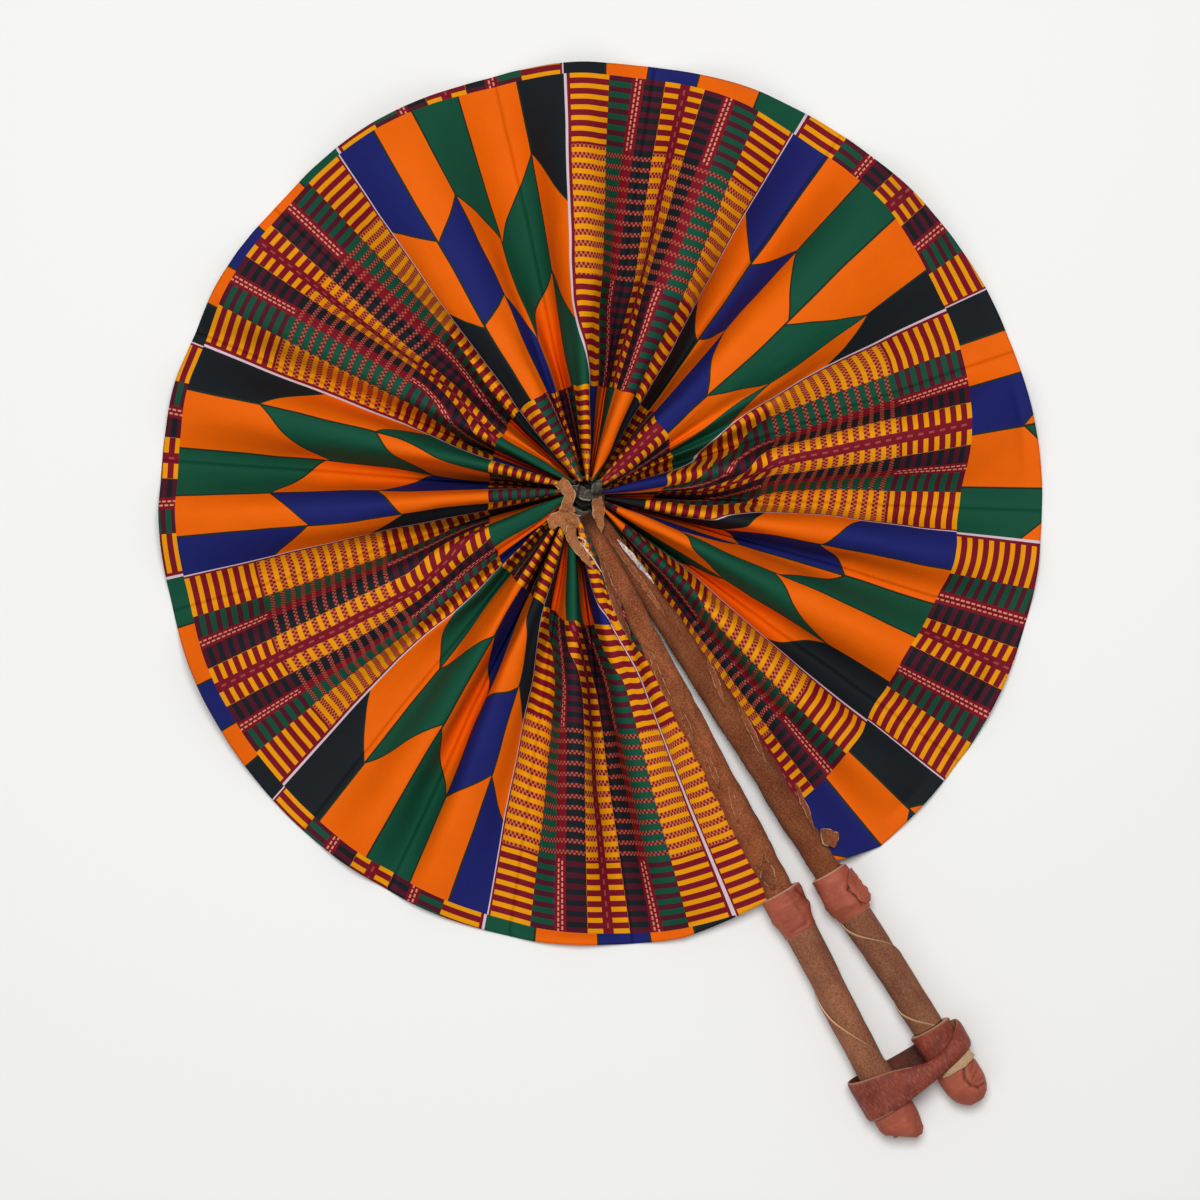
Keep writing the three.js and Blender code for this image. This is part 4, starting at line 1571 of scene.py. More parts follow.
@dataclass
class Handle:
    """A stick in its leather: sleeve, collar, wound grip and folded cap."""

    side: Side
    line: HandleLine
    finishes: Finishes
    rim_radius: float = 172.8
    past_rim: Pair = (-0.5, 2.5)
    collar_length: Pair = (16.0, 18.0)
    overlap: float = 1.0  # of a collar, over the leather at both its ends
    collar_half: Pair = (8.4, 7.3)
    grip_half: Pair = (6.3, 6.0)
    band_length: float = 18.0
    band_half: Pair = (8.5, 7.5)
    cap_half: Pair = (8.4, 7.5)
    cap_length: float = 16.0
    leather: float = 1.0
    bore_half: Pair = (5.8, 5.6)  # the most that the leather leaves for the stick
    tip_wall: float = 4.0
    # How wide each collar and cap is at even steps outwards, as a share of its bulge or size
    collar_shares: tuple = ((1, 1, 0.95, 0.45, 0.3), (0.55, 0.85, 1, 0.95, 0.32))
    cap_shares: tuple = (
        (1, 1.02, 1.02, 1.01, 1, 0.98, 0.95, 0.9, 0.72),
        (0.97, 1.0, 1.01, 1.0, 0.98, 0.93, 0.84, 0.68, 0.38),
    )
    cap_heights: tuple = (
        (1, 1, 1, 0.98, 0.94, 0.87, 0.77, 0.62, 0.32),
        (0.97, 1.0, 1.01, 1.0, 0.96, 0.88, 0.76, 0.58, 0.3),
    )
    cap_slant: Pair = (6.0, 0.0)
    # The creases of each collar, each cap and the band, as the values of a Groove
    collar_grooves: tuple = (
        ((0.15, 1, 0.35, 14, -0.45, 1.1), (0.75, 2, 0.95, 7, 0.5, 0.9),
         (-0.5, 15.5, 0.5, 15, 0.35, 1.0)),
        ((1.1, 3.2, 0.37, 9.2, 0.9, 0.7), (0.37, 9.2, 0.6, 16.8, 0.7, 0.7),
         (-1.0, 12, 0.2, 15, -0.5, 1.4)),
    )
    cap_grooves: tuple = (
        ((-0.2, 14, 0.5, 6, -0.3, 1.5), (0.55, 13, 0.8, 8, 0.25, 0.8)),
        ((0.38, 1, 0.1, 5, 0.9, 0.7), (0.1, 5, 0.18, 8.5, 0.9, 0.7),
         (0.18, 8.5, 0.5, 11, 0.9, 0.7), (0.5, 11, 0.9, 10.5, 0.7, 0.6),
         (0.42, 6.5, 0.8, 5, 0.6, 0.5), (0.4, 8.2, 0.85, 8.6, 0.5, 0.45),
         (0.48, 4, 0.75, 2.4, 0.5, 0.45)),
    )
    band_grooves: tuple = ((-1, 1.2, 1, 0.8, -0.25, 0.6),)
    sleeve_belly: Pair = (-0.3, 1.0)
    wear: Pair = (0.0, 0.3)
    winding_pitch: Pair = (70.0, 39.0)
    winding_start: Pair = (217.0, 195.0)  # where an edge passes the grip's left side
    winding_lap: float = 0.9
    step: float = 0.7
    sides: int = 84

    @property
    def sleeve_length(self) -> float:
        """Where the sleeve ends."""
        return self.rim_radius + self.past_rim[self.side.index]

    @property
    def collar_span(self) -> Pair:
        """Where the collar starts and ends."""
        start = self.sleeve_length + self.line.gap
        return start, start + self.collar_length[self.side.index]

    @property
    def cap_start(self) -> float:
        """Where the cap starts."""
        return self.line.end - self.cap_length

    @property
    def band_span(self) -> Pair:
        """Where the right handle's band starts and ends."""
        end = self.cap_start - self.line.gap
        return end - self.band_length, end

    def shell(
        self, part: str, form: str, span: Pair, halves: Halves, material: Material,
        grooves: Rows = (), pucker: float = 0.3, lip: float = 0.5, tip: bool = False,
        slant: float = 0.0, sway: Callable[[float, float], float] | None = None,
        slot: str = "red_leather",
    ) -> Object:
        """Make a leather tube round the stick, or a cup over its end.

        Args:
            part: The part of the handle that it stands for.
            form: What it is, for its name.
            span: Where it starts and ends.
            halves: Its outer half width and half height at a distance.
            material: Its leather.
            grooves: Its creases, as the values of a Groove; the hollow ones get painted shade along
                them.
            pucker: How rough it is.
            lip: How far its rims are rounded.
            tip: Whether it is closed at its far end.
            slant: How much shorter its left side is.
            sway: How far the leather stands off its oval, at a distance and a share across.
            slot: The record's material slot.

        Returns:
            The piece.
        """
        start, end = span
        steps = max(24, round((end - start) / self.step))
        creases = [Groove(*groove) for groove in grooves]
        seed = start * 0.37 + self.side.index * 11.0
        rings, cut, shade = [], [], []
        for i in range(steps + 1):
            distance = mix(start, end, i / steps)
            wide, high = halves(distance)
            near = distance - start if tip else min(distance - start, end - distance)
            rounding = lip * (1 - sqrt(1 - (1 - min(near / lip, 1.0)) ** 2))
            fade = 1 - rise(distance, end - self.tip_wall, end) if tip else 1.0
            ring = []
            for j in range(self.sides):
                angle = tau * j / self.sides
                across, up = cos(angle), sin(angle)
                surface = Vector((across * wide, distance, up * high))
                relief = (puckers(surface, 7.0, seed) + puckers(surface, 2.4, seed) * 0.4) * pucker
                # dark: painted shade along the hollow creases
                dark = 0.0
                for crease in creases if up > -0.2 else ():
                    reach = crease.reach(across, distance - start, wide)
                    relief -= crease.depth * reach
                    dark = max(dark, crease.depth * reach**3)
                relief = (relief + (sway(distance, across) if sway else 0.0)) * fade - rounding
                short = slant * max(0.5 - across, 0.0) / 1.5 * (i / steps) ** 2
                ring.append(self.line.point(
                    self.side, distance - short, angle, wide + relief, high + relief
                ))
                ragged = 0.15 + 0.6 * max(puckers(surface, 1.4, seed), 0.0)
                cut.append(float(near < ragged))
                shade.append(min(dark, 0.8))
            rings.append(ring)
        bore, bore_end = [], end - self.tip_wall if tip else end
        for distance in (bore_end, mix(start, bore_end, 0.5), start):
            wide, high = (
                min(h, most) - self.leather for h, most in zip(halves(distance), self.bore_half)
            )
            bore.append([
                self.line.point(self.side, distance, tau * j / self.sides, wide, high)
                for j in range(self.sides)
            ])
        plain = [0.0] * (3 * self.sides)
        node = f"{self.side.label}_{part}"
        if tip:
            piece = loft(f"{node}_{form}", bore + rings, False, material, plain + cut)
            soil(piece, 0.0, shade=plain + shade)
        else:
            piece = loft(f"{node}_{form}", rings + bore, True, material, cut + plain)
            soil(piece, 0.0, shade=shade)
        dress(piece, self.side.body, slot, node)
        return piece

    def sleeve(self) -> None:
        """The soft sleeve along the cloth, thin where it faces the other handle."""

        def sway(distance: float, across: float) -> float:
            """How far the leather stands off: it bellies outwards and clears the other sleeve.

            Args:
                distance: Out from the pivot.
                across: The share of the half width, to the right.

            Returns:
                The way outwards.
            """
            belly = rise(distance, 30, 60) * (1 - rise(distance, 115, 150))
            outwards = across * self.side.value
            if outwards <= 0:
                return -0.8 * belly * outwards**2
            ragged = rise(distance, 20, 35) * puckers(Vector((0, distance, 0)), 7.0, index)
            return (self.sleeve_belly[index] * belly + ragged) * outwards**2

        index = self.side.index
        piece = self.shell(
            "sleeve", "skin", (self.line.start, self.sleeve_length),
            lambda distance: self.line.sleeve(self.side, distance), self.finishes.suede,
            pucker=0.4, lip=0.8, sway=sway, slot="suede",
        )
        # Wear all over, and painted shade of the folds near the pivot.
        soil(piece, self.wear[index], 19.0)

    def collar(self) -> None:
        """The red band that ties the sleeve off where the cloth ends."""
        start, end = self.collar_span
        shares = [(share,) for share in self.collar_shares[self.side.index]]

        def halves(distance: float) -> list[float]:
            """Half width and half height, which swell from the grip's to the bulge.

            Args:
                distance: Out from the pivot.

            Returns:
                Both halves.
            """
            passed = min(max((distance - start) / (end - start), 0.0), 1.0)
            share = read_rows(shares, passed * (len(shares) - 1), True)[0]
            return [mix(g, c, share) for g, c in zip(self.grip_half, self.collar_half)]

        self.shell(
            "collar", "wrap", (start - self.overlap, end + self.overlap), halves,
            self.finishes.red_leather, self.collar_grooves[self.side.index], pucker=0.4, lip=1.1,
        )

    def grip(self) -> None:
        """The strip wound round the grip, each turn's far side tucked under the next."""
        start = self.collar_span[1] + self.line.gap
        end = (self.cap_start if self.side is Side.LEFT else self.band_span[0]) - self.line.gap
        pitch = self.winding_pitch[self.side.index]
        first = self.winding_start[self.side.index]
        turn_steps, columns = self.sides, round(pitch / 0.8)
        before = ceil((first - start) / pitch) + 1
        after = ceil((end - first) / pitch) + 1
        rings, cut = [], []
        for i in range(-before * turn_steps, after * turn_steps + 1):
            angle = pi - tau * i / turn_steps
            edge = first + pitch * i / turn_steps
            ring = []
            for top in (True, False):
                for j in range(columns + 1):
                    t = j / columns if top else 1 - j / columns
                    distance = edge + t * pitch * 1.04
                    lift = self.winding_lap * (1 - t) ** 2 - (0.0 if top else 0.7)
                    lift -= 0.35 * max(0.0, 1 - t * pitch / 0.5) if top else 0.0
                    place = Vector((6 * cos(angle), distance, 6 * sin(angle)))
                    lift += puckers(place, 8.0, 4.0) * 0.3 + puckers(place, 2.2, 2.0) * 0.08
                    ring.append(self.line.point(
                        self.side, distance, angle,
                        self.grip_half[0] - 0.3 + lift, self.grip_half[1] - 0.3 + lift,
                    ))
                    cut.append(float(t * pitch < 0.35))
            rings.append(ring)
        leather = self.finishes.grip_suede
        piece = loft(f"{self.side.label}_grip_winding", rings, False, leather, cut)
        trim(piece, -MM * start, -MM * end)
        soil(piece, self.wear[self.side.index] * 0.6)
        dress(piece, self.side.body, "suede", f"{self.side.label}_grip")

    def cap(self) -> None:
        """The leather folded over the handle's end."""
        index = self.side.index
        shares = list(zip(self.cap_shares[index], self.cap_heights[index]))

        def halves(distance: float) -> list[float]:
            """Half width and half height of the cap."""
            place = (distance - self.cap_start) / self.cap_length * (len(shares) - 1)
            return [half * share for half, share in zip(self.cap_half, read_rows(shares, place))]

        self.shell(
            "cap", "fold", (self.cap_start, self.line.end), halves,
            self.finishes.red_leather, self.cap_grooves[index], pucker=0.35, lip=0.6, tip=True,
            slant=self.cap_slant[index],
        )

    def band(self) -> None:
        """The wide band above the right cap."""
        self.shell(
            "band", "wrap", self.band_span, lambda _: self.band_half,
            self.finishes.strap_leather, self.band_grooves, lip=0.6,
        )

    def build(self) -> None:
        """Make every leather piece of the handle."""
        stick = bpy.data.objects[f"{self.side.label}_stick"]
        stick.data.materials.clear()
        stick.data.materials.append(self.finishes.wood)
        self.sleeve()
        self.collar()
        self.grip()
        self.cap()
        if self.side is Side.RIGHT:
            self.band()


def trim(piece: Object, near: float, far: float) -> None:
    """Cut a closed mesh square off at two places along Y and close its ends.

    Args:
        piece: The piece.
        near: The place that is nearer to the pivot, in metres.
        far: The place that is further out.
    """
    body = bmesh.new()
    body.from_mesh(piece.data)
    for place, away in ((near, 1), (far, -1)):
        result = bmesh.ops.bisect_plane(
            body, geom=[*body.verts, *body.edges, *body.faces], plane_co=(0, place, 0),
            plane_no=(0, away, 0), clear_outer=True,
        )
        edges = [e for e in result["geom_cut"] if isinstance(e, bmesh.types.BMEdge)]
        bmesh.ops.contextual_create(body, geom=edges)
    body.to_mesh(piece.data)
    body.free()


@dataclass(frozen=True)
class Flap:
    """A thin tongue of leather that lies on the fan, with pale cut edges and pointed ends.

    Its middle line runs through points given as distance from the pivot, X and half width, in
    millimetres.
    """

    points: Rows
    reseed: float = 5.1
    lift: float = 0.7
    thickness: float = 0.5
    raw_edges: bool = True
    crumple: float = 0.25
    steps: int = 12
    columns: int = 10

    def shape(self, ground: Ground, seed: float) -> Strip:
        """Lay the tongue on the fan.

        Args:
            ground: What it lies on.
            seed: Which ragged edge it gets.

        Returns:
            Its points and their cut edges.
        """
        count = (len(self.points) - 1) * self.steps
        rows = []
        for i in range(count + 1):
            distance, middle, half = read_rows(self.points, i / self.steps)
            row = []
            for j in range(self.columns + 1):
                t = j / self.columns * 2 - 1
                ragged = 1 + 0.45 * noise.noise(Vector((distance / 3, seed, copysign(4, t))))
                row.append((middle + t * max(half, 0.1) * ragged, -distance))
            rows.append(row)
        points, cut = [], []
        for row, heights in zip(rows, ground.drape(rows)):
            tops, cuts = [], []
            for j, ((x, y), high) in enumerate(zip(row, heights)):
                t = j / self.columns * 2 - 1
                curl = t * t * (0.4 + 0.5 * noise.noise(Vector((y / 3, seed, 2 * t))))
                crumple = self.crumple * noise.noise(Vector((x / 1.5, y / 1.5, seed)))
                tops.append(MM * Vector((x, y, high + self.lift + curl + crumple)))
                torn = noise.noise(Vector((y / 2.2, seed, 9 * t))) > -0.1
                cuts.append(float(self.raw_edges and torn and abs(t) > 0.95))
            under = MM * Vector((0, 0, self.thickness))
            points += tops + [top - under for top in reversed(tops)]
            cut += cuts + cuts[::-1]
        return points, cut


@dataclass
class Ties:
    """Everything that holds the cloth to the sticks: knots, thongs, tabs and torn edges."""

    finishes: Finishes
    ground: Ground
    cord_radius: float = 0.7 * MM
    gather_radius: float = 8.4 * MM
    cord_height: float = 11.35 * MM
    cord_gap: float = 0.6 * MM
    cord_turns: float = 22.0
    cord_points: int = 264
    left_flaps: tuple = (
        Flap(((22, -6.5, 0.4), (30, -8.3, 1.2), (38, -10, 1.6), (46, -11.6, 1.5),
              (54, -12.4, 1.0), (58, -13, 0.1))),
        Flap(((62, -8.5, 0.3), (68, -9.2, 1.0), (76, -10.8, 1.2), (84, -11.5, 1.1),
              (91, -12.3, 0.1))),
        Flap(((90, -9.6, 0.2), (95, -10.2, 1.0), (101, -11.2, 1.0), (106, -12.6, 0.1))),
        Flap(((108, -9.6, 0.2), (114, -10.2, 0.9), (120, -11, 1.0), (125, -12.4, 0.1))),
        Flap(((125, -8.6, 0.2), (130, -9.6, 1.0), (135, -11, 1.0), (140, -12.8, 0.1))),
    )
    right_flaps: tuple = (
        Flap(((16, -0.6, 0.3), (28, 1.0, 0.9), (40, 2.2, 1.0), (50, 3.0, 0.8), (58, 3.6, 0.1))),
        Flap(((78, 9.6, 0.2), (84, 8.6, 1.0), (90, 7.6, 1.2), (98, 5.8, 0.1))),
        Flap(((98, 11.2, 0.2), (106, 10.4, 1.2), (116, 9.6, 1.3), (127, 8.4, 0.1))),
        Flap(((138, 14.6, 0.2), (144, 13.8, 1.1), (150, 13.0, 1.1), (157, 11.8, 0.1))),
    )
    backing: tuple = (
        Flap(((21, 2.4, 0.2), (25, 3.2, 0.8), (30, 4.2, 1.0), (36, 5.2, 0.9), (43, 6.0, 0.2))),
        Flap(((13, -11.2, 0.15), (17, -10.4, 0.3), (22, -9.6, 0.3), (29, -9.4, 0.15))),
    )
    collar_flap: Flap = Flap(
        ((177.5, 16.2, 0.8), (180, 15.4, 1.8), (183, 14.9, 2.6), (187, 15.2, 2.8),
         (190, 15.6, 2.4), (192.2, 15.9, 1.0)), thickness=0.6, raw_edges=False, crumple=0.7,
    )
    left_tab: Flap = Flap(
        ((155.5, -10.4, 0.1), (158, -11.4, 1.8), (162, -12.5, 3.0), (166, -13.2, 2.4),
         (169, -13.5, 0.6)), lift=1.6, thickness=0.9, crumple=0.9,
    )
    right_tab: Flap = Flap(
        ((158.5, 14.5, 0.3), (160.5, 15, 2.6), (163, 15.5, 3.4), (165.5, 15.6, 2.8),
         (167.3, 15.2, 0.4)), lift=1.6, thickness=1.2,
    )

    def thong(self) -> None:
        """The thong round the hole's left rim: its start, its wing and its long tail."""
        strips = [
            Ribbon(((-5.9, 9.8, 2.4, 0), (-5.1, 7.3, 2.6, 8), (-4.8, 3.3, 2.2, -10),
                    (-7.3, 1.1, 2.1, 0), (-9.8, -1.2, 2.0, 10), (-12.6, -3.0, 1.2, 0)), 1.0),
            Ribbon(((-11.3, -0.3, 1.0, 0), (-9.2, -0.2, 1.5, 0), (-7.5, -1.7, 1.5, 0),
                    (-7.4, -3.5, 1.1, 0)), lift=1.5),
            Ribbon(((-10.9, -2.6, 2.2, 0), (-13.2, -2.6, 2.9, -8), (-15.5, -2.7, 2.8, 0),
                    (-18, -4.4, 0.8, 0)), lift=1.2),
            Ribbon(((-9.2, -0.7, 1.4, 0), (-11.2, -3.2, 1.9, 0), (-12.5, -5.9, 1.8, 0),
                    (-14.2, -9.3, 0.2, 0)), lift=1.9),
            Ribbon(((-9.7, -3.5, 1.5, 0), (-8.6, -6.2, 2.1, 0), (-10.7, -8.1, 2.0, 0),
                    (-12.7, -11.6, 2.0, 0), (-12.7, -16.1, 1.9, -8),
                    (-12.1, -20.5, 1.6, 0), (-11.7, -26.6, 0.2, 0)), lift=1.4),
            Ribbon(((-10.4, -12.6, 0.3, 0), (-9.3, -13.8, 0.3, 0), (-9, -15.7, 0.3, 0),
                    (-10.2, -17.3, 0.3, 0), (-9.7, -19.3, 0.3, 0)), 0.5, 0, pale=True),
        ]
        piece = lay("centre_thong", strips, self.finishes.thong_suede, self.ground)
        dress(piece, "left_handle", "suede", "centre_tie")
        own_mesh(piece)

    def loop(self) -> None:
        """The strip that is tied round the right stick, its pointed end hanging down."""
        strips = [
            Ribbon(((3.7, -2.6, 1.9, 0), (2.7, -5.5, 2.5, 8), (1.1, -8.7, 2.4, 0),
                    (-0.3, -12.1, 1.5, 0), (-1.8, -15.9, 0.2, 0)), curl=0.3, height=12),
        ]
        piece = lay("centre_loop_strip", strips, self.finishes.thong_suede, self.ground)
        dress(piece, "right_handle", "suede", "centre_loop")
        worn = [
            Ribbon(((-4.0, 5.4, 1.2, 0), (-2.5, 4.0, 2.0, 0), (-0.5, 2.0, 2.2, 0),
                    (1.4, -0.4, 1.8, 0), (1.2, -2.7, 1.2, 0)), curl=0.2, height=12),
            Ribbon(((8.5, 2, 0.4, 0), (5.9, 0.6, 2.0, 0), (4.7, -1.5, 2.0, 0), (3.5, -3.1, 1.6, 0)),
                   curl=0.2, lift=1.0, height=12),
            Ribbon(((-2.2, 0.5, 0.3, 0), (-1, -1.4, 0.3, 0), (1, -2.5, 0.3, 0)),
                   0.5, 0, pale=True, height=13),
        ]
        piece = lay("centre_worn_strips", worn, self.finishes.worn_leather, self.ground)
        dress(piece, "right_handle", "dark_leather")

    def knot(self) -> None:
        """The knotted thong under the pivot, a lump with a hollow top, its near-black leather also
        painted shade of the hole.
        """
        sides, side_steps, top_steps, height = 40, 16, 8, 10.3
        walls = [(height * i / side_steps, 1.0) for i in range(side_steps + 1)]
        top = [
            (height - 3.0 * sin(pi / 2 * i / top_steps), 1 - 0.95 * i / top_steps)
            for i in range(1, top_steps + 1)
        ]
        rings = []
        for level, share in walls + top:
            ring = []
            for j in range(sides):
                angle = tau * j / sides
                bulge = 0.4 * cos(3 * angle + level * 0.9) + 0.3 * cos(level * 1.8)
                taper = 0.9 * (1 - rise(level, 0, 1.2)) + 1.1 * rise(level, 8.6, height)
                radius = (4.9 + bulge - taper) * share
                place = Vector((radius * cos(angle), radius * sin(angle), level))
                if level > 1.0:
                    place.z += puckers(place, 2.4, 3.0) * 0.9
                ring.append(MM * place)
            rings.append(ring)
        piece = loft("pivot_thong_knot", rings, False, self.finishes.knot_leather)
        dress(piece, "left_handle", "dark_leather", "pivot_knot")

    def gather_cord(self) -> None:
        """The cord of three laid strands that gathers the cloth's edge round the hole."""
        tree = bpy.data.node_groups.new("lay_strands", "GeometryNodeTree")
        sizes = Inputs(tree, {"Cord Radius": self.cord_radius, "Turns": self.cord_turns})
        place = add_node(tree, "GeometryNodeSplineParameter").outputs["Factor"]
        turn = Reading(tree, place) * sizes["Turns"] * tau
        normal = add_node(tree, "GeometryNodeInputNormal").outputs[0]
        tangent = add_node(tree, "GeometryNodeInputTangent").outputs[0]
        joined = add_node(tree, "GeometryNodeJoinGeometry")
        for strand in range(3):
            angle = (turn + tau * strand / 3) * -1.0
            feeds = {"Vector": normal, "Axis": tangent, "Angle": angle}
            spoke = add_node(tree, "ShaderNodeVectorRotate", feeds).outputs[0]
            feeds = {0: spoke, "Scale": sizes["Cord Radius"] * 0.5}
            offset = add_node(tree, "ShaderNodeVectorMath", feeds, operation="SCALE").outputs[0]
            feeds = {"Geometry": sizes.node.outputs["Mesh"], "Offset": offset}
            moved = add_node(tree, "GeometryNodeSetPosition", feeds).outputs[0]
            feeds = {"Resolution": 8, "Radius": sizes["Cord Radius"] * 0.55}
            ring = add_node(tree, "GeometryNodeCurvePrimitiveCircle", feeds, mode="RADIUS")
            feeds = {"Curve": moved, "Profile Curve": ring.outputs[0]}
            swept = add_node(tree, "GeometryNodeCurveToMesh", feeds)
            tree.links.new(swept.outputs[0], joined.inputs[0])
        finish_tree(tree, joined.outputs[0], self.finishes.cord)
        curve = bpy.data.curves.new("gather_cord_laid", "CURVE")
        curve.dimensions = "3D"
        spline = curve.splines.new("POLY")
        spline.points.add(self.cord_points - 1)
        radius = self.gather_radius - self.cord_radius - self.cord_gap
        for i, point in enumerate(spline.points):
            around = tau * i / self.cord_points
            point.co = (radius * cos(around), radius * sin(around), self.cord_height, 1)
        spline.use_cyclic_u = True
        piece = link("gather_cord_laid", curve)
        piece.modifiers.new("lay", "NODES").node_group = tree
        dress(settle(piece), "left_handle", "cord", "gather_cord")

    def build(self) -> None:
        """Make every tie."""
        self.gather_cord()
        self.knot()
        self.thong()
        self.loop()
        suede, backing, red = self.finishes.suede, self.finishes.backing, self.finishes.red_leather
        for name, flaps, material, slot, wear, *nodes in (
            ("left_sleeve_tongues", self.left_flaps, suede, "suede", 0.0),
            ("right_sleeve_tongues", self.right_flaps, suede, "suede", 0.0),
            ("right_backing_edge", self.backing[:1], backing, "cotton", 0.0),
            ("left_backing_edge", self.backing[1:], backing, "cotton", 0.0),
            ("left_knot_tab", (self.left_tab,), suede, "suede", 0.3, "left_knot"),
            ("right_tab_strip", (self.right_tab,), suede, "suede", 0.2, "right_tab"),
            ("right_collar_flap", (self.collar_flap,), red, "red_leather", 0.0),
        ):
            piece = lay(name, flaps, material, self.ground, len(name))
            soil(piece, wear)
            dress(piece, name.split("_")[0] + "_handle", slot, *nodes)


@dataclass
class Strap:
    """The leather loop that slips along both handles to hold them together."""

    line: HandleLine
    finishes: Finishes
    thickness: float = 1.3
    room: float = 0.7
    cap_half: Pair = (8.4, 7.5)
    cap_middle: float = 273.0
    # Its two edges at six even steps from its left end over the front, back from the handles' tips
    edges: tuple = (
        (31.5, 14.4), (28.5, 14.4), (24, 17), (31.5, 21), (30.5, 21.5), (30.5, 17),
    )
    # The raw inner side that turns up beside the right cap
    inner_fold: Ribbon = Ribbon(
        ((6.5, -265.6, 0.3, 0), (11.5, -264.2, 1.9, 0), (16, -262.8, 3.3, 0),
         (20.0, -260.8, 3.8, 0)), 0.8, 0.2, 0.4, True,
    )
    floor_gap: float = 0.05
    steps: int = 260
    columns: int = 22

    def outline(self, share: float, lift: float) -> Pair:
        """A point of the outline, two half circles joined by straight lines.

        Args:
            share: How far round it is, from the left end over the front.
            lift: How far out from the inner face.

        Returns:
            Its X and Z from the middle.
        """
        radius = self.cap_half[1] + self.room
        spread = self.line.offset + tan(radians(self.line.half_angle)) * self.cap_middle
        straight = spread + self.cap_half[0] + self.room - radius
        quarter = pi * radius / 2
        length = 4 * quarter + 4 * straight
        walked = share % 1 * length
        out = radius + lift
        if walked < quarter or walked > length - quarter:
            turn = (walked - length if walked > length / 2 else walked) / radius
            return -straight - out * cos(turn), out * sin(turn)
        if walked < quarter + 2 * straight:
            return walked - quarter - straight, out
        if walked < 3 * quarter + 2 * straight:
            turn = (walked - 2 * quarter - 2 * straight) / radius
            return straight + out * cos(turn), -out * sin(turn)
        return 3 * quarter + 3 * straight - walked, -out

    def edge(self, share: float) -> list[float]:
        """Both edges' distances from the pivot at a share of the way round."""
        backs = follow(self.edges, share * len(self.edges), True)
        return [self.line.end - back for back in backs]

    def build(self, ground: Ground) -> None:
        """Make the loop; its front strand is rolled where it crosses between the handles.

        Args:
            ground: What the turned-up inner side lies on.
        """
        rings, cut, shade = [], [], []
        for i in range(self.steps):
            share = i / self.steps
            near, far = self.edge(share)
            rolled = rise(share, 0.14, 0.24) * (1 - rise(share, 0.40, 0.5))
            ring = []
            for top in (1, -1):
                for j in range(self.columns + 1):
                    t = (j / self.columns * 2 - 1) * top
                    crown = rolled * 1.6 * (1 - t * t)
                    lift = crown + (self.thickness * (1 - 0.4 * t**8) if top > 0 else 0.0)
                    x, z = self.outline(share, lift)
                    distance = mix(near, far, (t + 1) / 2)
                    place = Vector((x, distance, z))
                    wave = puckers(place, 6.0, 9.0) * 0.25 + puckers(place, 2.0, 5.0) * 0.08
                    x, z = self.outline(share, lift + wave * (0.3 if top < 0 else 1.0))
                    high = max(self.line.grip_height + z, self.floor_gap)
                    ring.append(MM * Vector((self.line.shift + x, -distance, high)))
                    edge_shows = share < (0.25 if t < 0 else 0.12)
                    pale = 0.75 if top > 0 and abs(t) > 0.96 and edge_shows else 0.0
                    inside = top < 0 and 0.4 < share < 0.56
                    cut.append(max(pale, 0.8 if inside else 0.0))
                    # Painted shade on the inner face of the back strand, inside the loop.
                    shade.append(0.6 if top < 0 and share > 0.6 else 0.0)
            rings.append(ring)
        piece = loft("strap_loop", rings, True, self.finishes.strap_leather, cut)
        soil(piece, 0.0, shade=shade)
        dress(piece, "strap", "red_leather", "strap")
        fold = lay("strap_inner_fold", [self.inner_fold], self.finishes.strap_leather, ground)
        dress(fold, "strap", "red_leather")
        for part in (piece, fold):
            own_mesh(part)


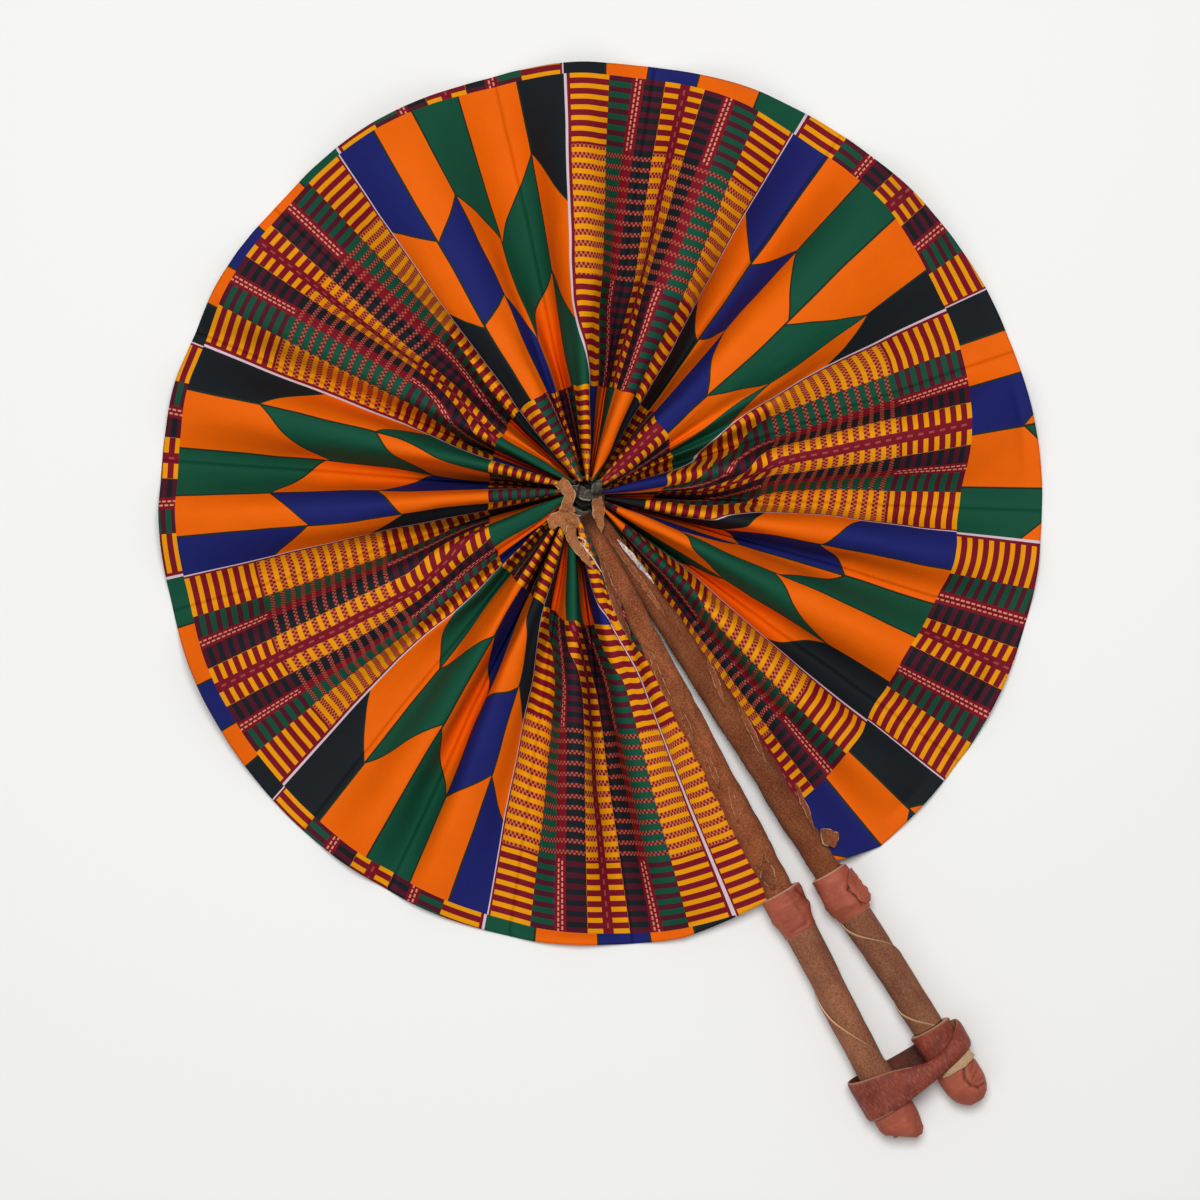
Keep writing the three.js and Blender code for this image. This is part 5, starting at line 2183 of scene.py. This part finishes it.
@dataclass
class Studio:
    """The photograph's view, straight down, with soft light and a pale floor."""

    # The picture's middle on the table, its width there and how far it is turned
    centre: Pair = (-15.35 * MM, -37.98 * MM)
    width: float = 468 * MM
    turn: float = -30.2
    focus_height: float = 10 * MM
    distance: float = 1.7
    sensor: float = 36.0
    floor_size: float = 6.0

    def camera(self) -> None:
        """Create the camera."""
        data = bpy.data.cameras.new("camera")
        data.sensor_width = self.sensor
        data.lens = self.sensor * self.distance / self.width
        camera = link("camera", data)
        camera.location = (*self.centre, self.focus_height + self.distance)
        camera.rotation_euler = (0, 0, radians(self.turn))
        bpy.context.scene.camera = camera

    def floor(self) -> None:
        """Lay a pale floor that the camera sees white apart from the object's shadow."""
        skin = Surface("pale_floor")
        skin.shader.inputs["Base Color"].default_value = linear("#F4F4F2")
        skin.shader.inputs["Roughness"].default_value = 0.9
        half = self.floor_size / 2
        corners = [half * Vector((x, y, 0)) for x, y in ((-1, -1), (1, -1), (1, 1), (-1, 1))]
        floor = new_object("floor", corners, [(0, 1, 2, 3)], skin.material)

    def lamp(self, name: str, place: Row, size: float, power: float) -> None:
        """Hang a square soft lamp that points at the fan.

        Args:
            name: The lamp's name.
            place: Where it hangs.
            size: Its side, in metres.
            power: Its power in watts.
        """
        data = bpy.data.lights.new(name, "AREA")
        data.energy = power
        data.size = size
        lamp = link(name, data)
        lamp.location = place
        aim = Vector((*self.centre, 0)) - Vector(place)
        lamp.rotation_euler = aim.to_track_quat("-Z", "Y").to_euler()

    def light(self) -> None:
        """Set the lamps and the pale surroundings."""
        self.lamp("key", (0.18, 0.30, 1.7), 0.7, 21.5)
        self.lamp("fill", (-0.9, -0.5, 1.5), 1.2, 4.0)
        world = bpy.data.worlds.new("pale_room")
        world.use_nodes = True
        background = world.node_tree.nodes["Background"]
        background.inputs["Color"].default_value = linear("#FFFFFF")
        background.inputs["Strength"].default_value = 0.26
        bpy.context.scene.world = world

    def build(self) -> None:
        """Set up the studio."""
        bpy.context.scene.view_settings.view_transform = "Standard"
        self.camera()
        self.floor()
        self.light()


def main() -> None:
    """Build the fan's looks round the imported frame."""
    logging.basicConfig(level=logging.INFO, format="%(message)s")
    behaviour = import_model()["record"]["behaviour"]
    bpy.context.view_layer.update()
    Studio().build()
    line = HandleLine()
    finishes = Finishes()
    Cloth(line).build(finishes, behaviour)
    for side in Side:
        Handle(side, line, finishes).build()
    names = ("cloth", "sleeve_skin", "collar_wrap", "cap_fold", "band_wrap")
    below = [o for o in bpy.data.objects if o.type == "MESH" and o.name.endswith(names)]
    ground = Ground(below)
    Ties(finishes, ground).build()
    Strap(line, finishes).build(ground)


if __name__ == "__main__":
    main()
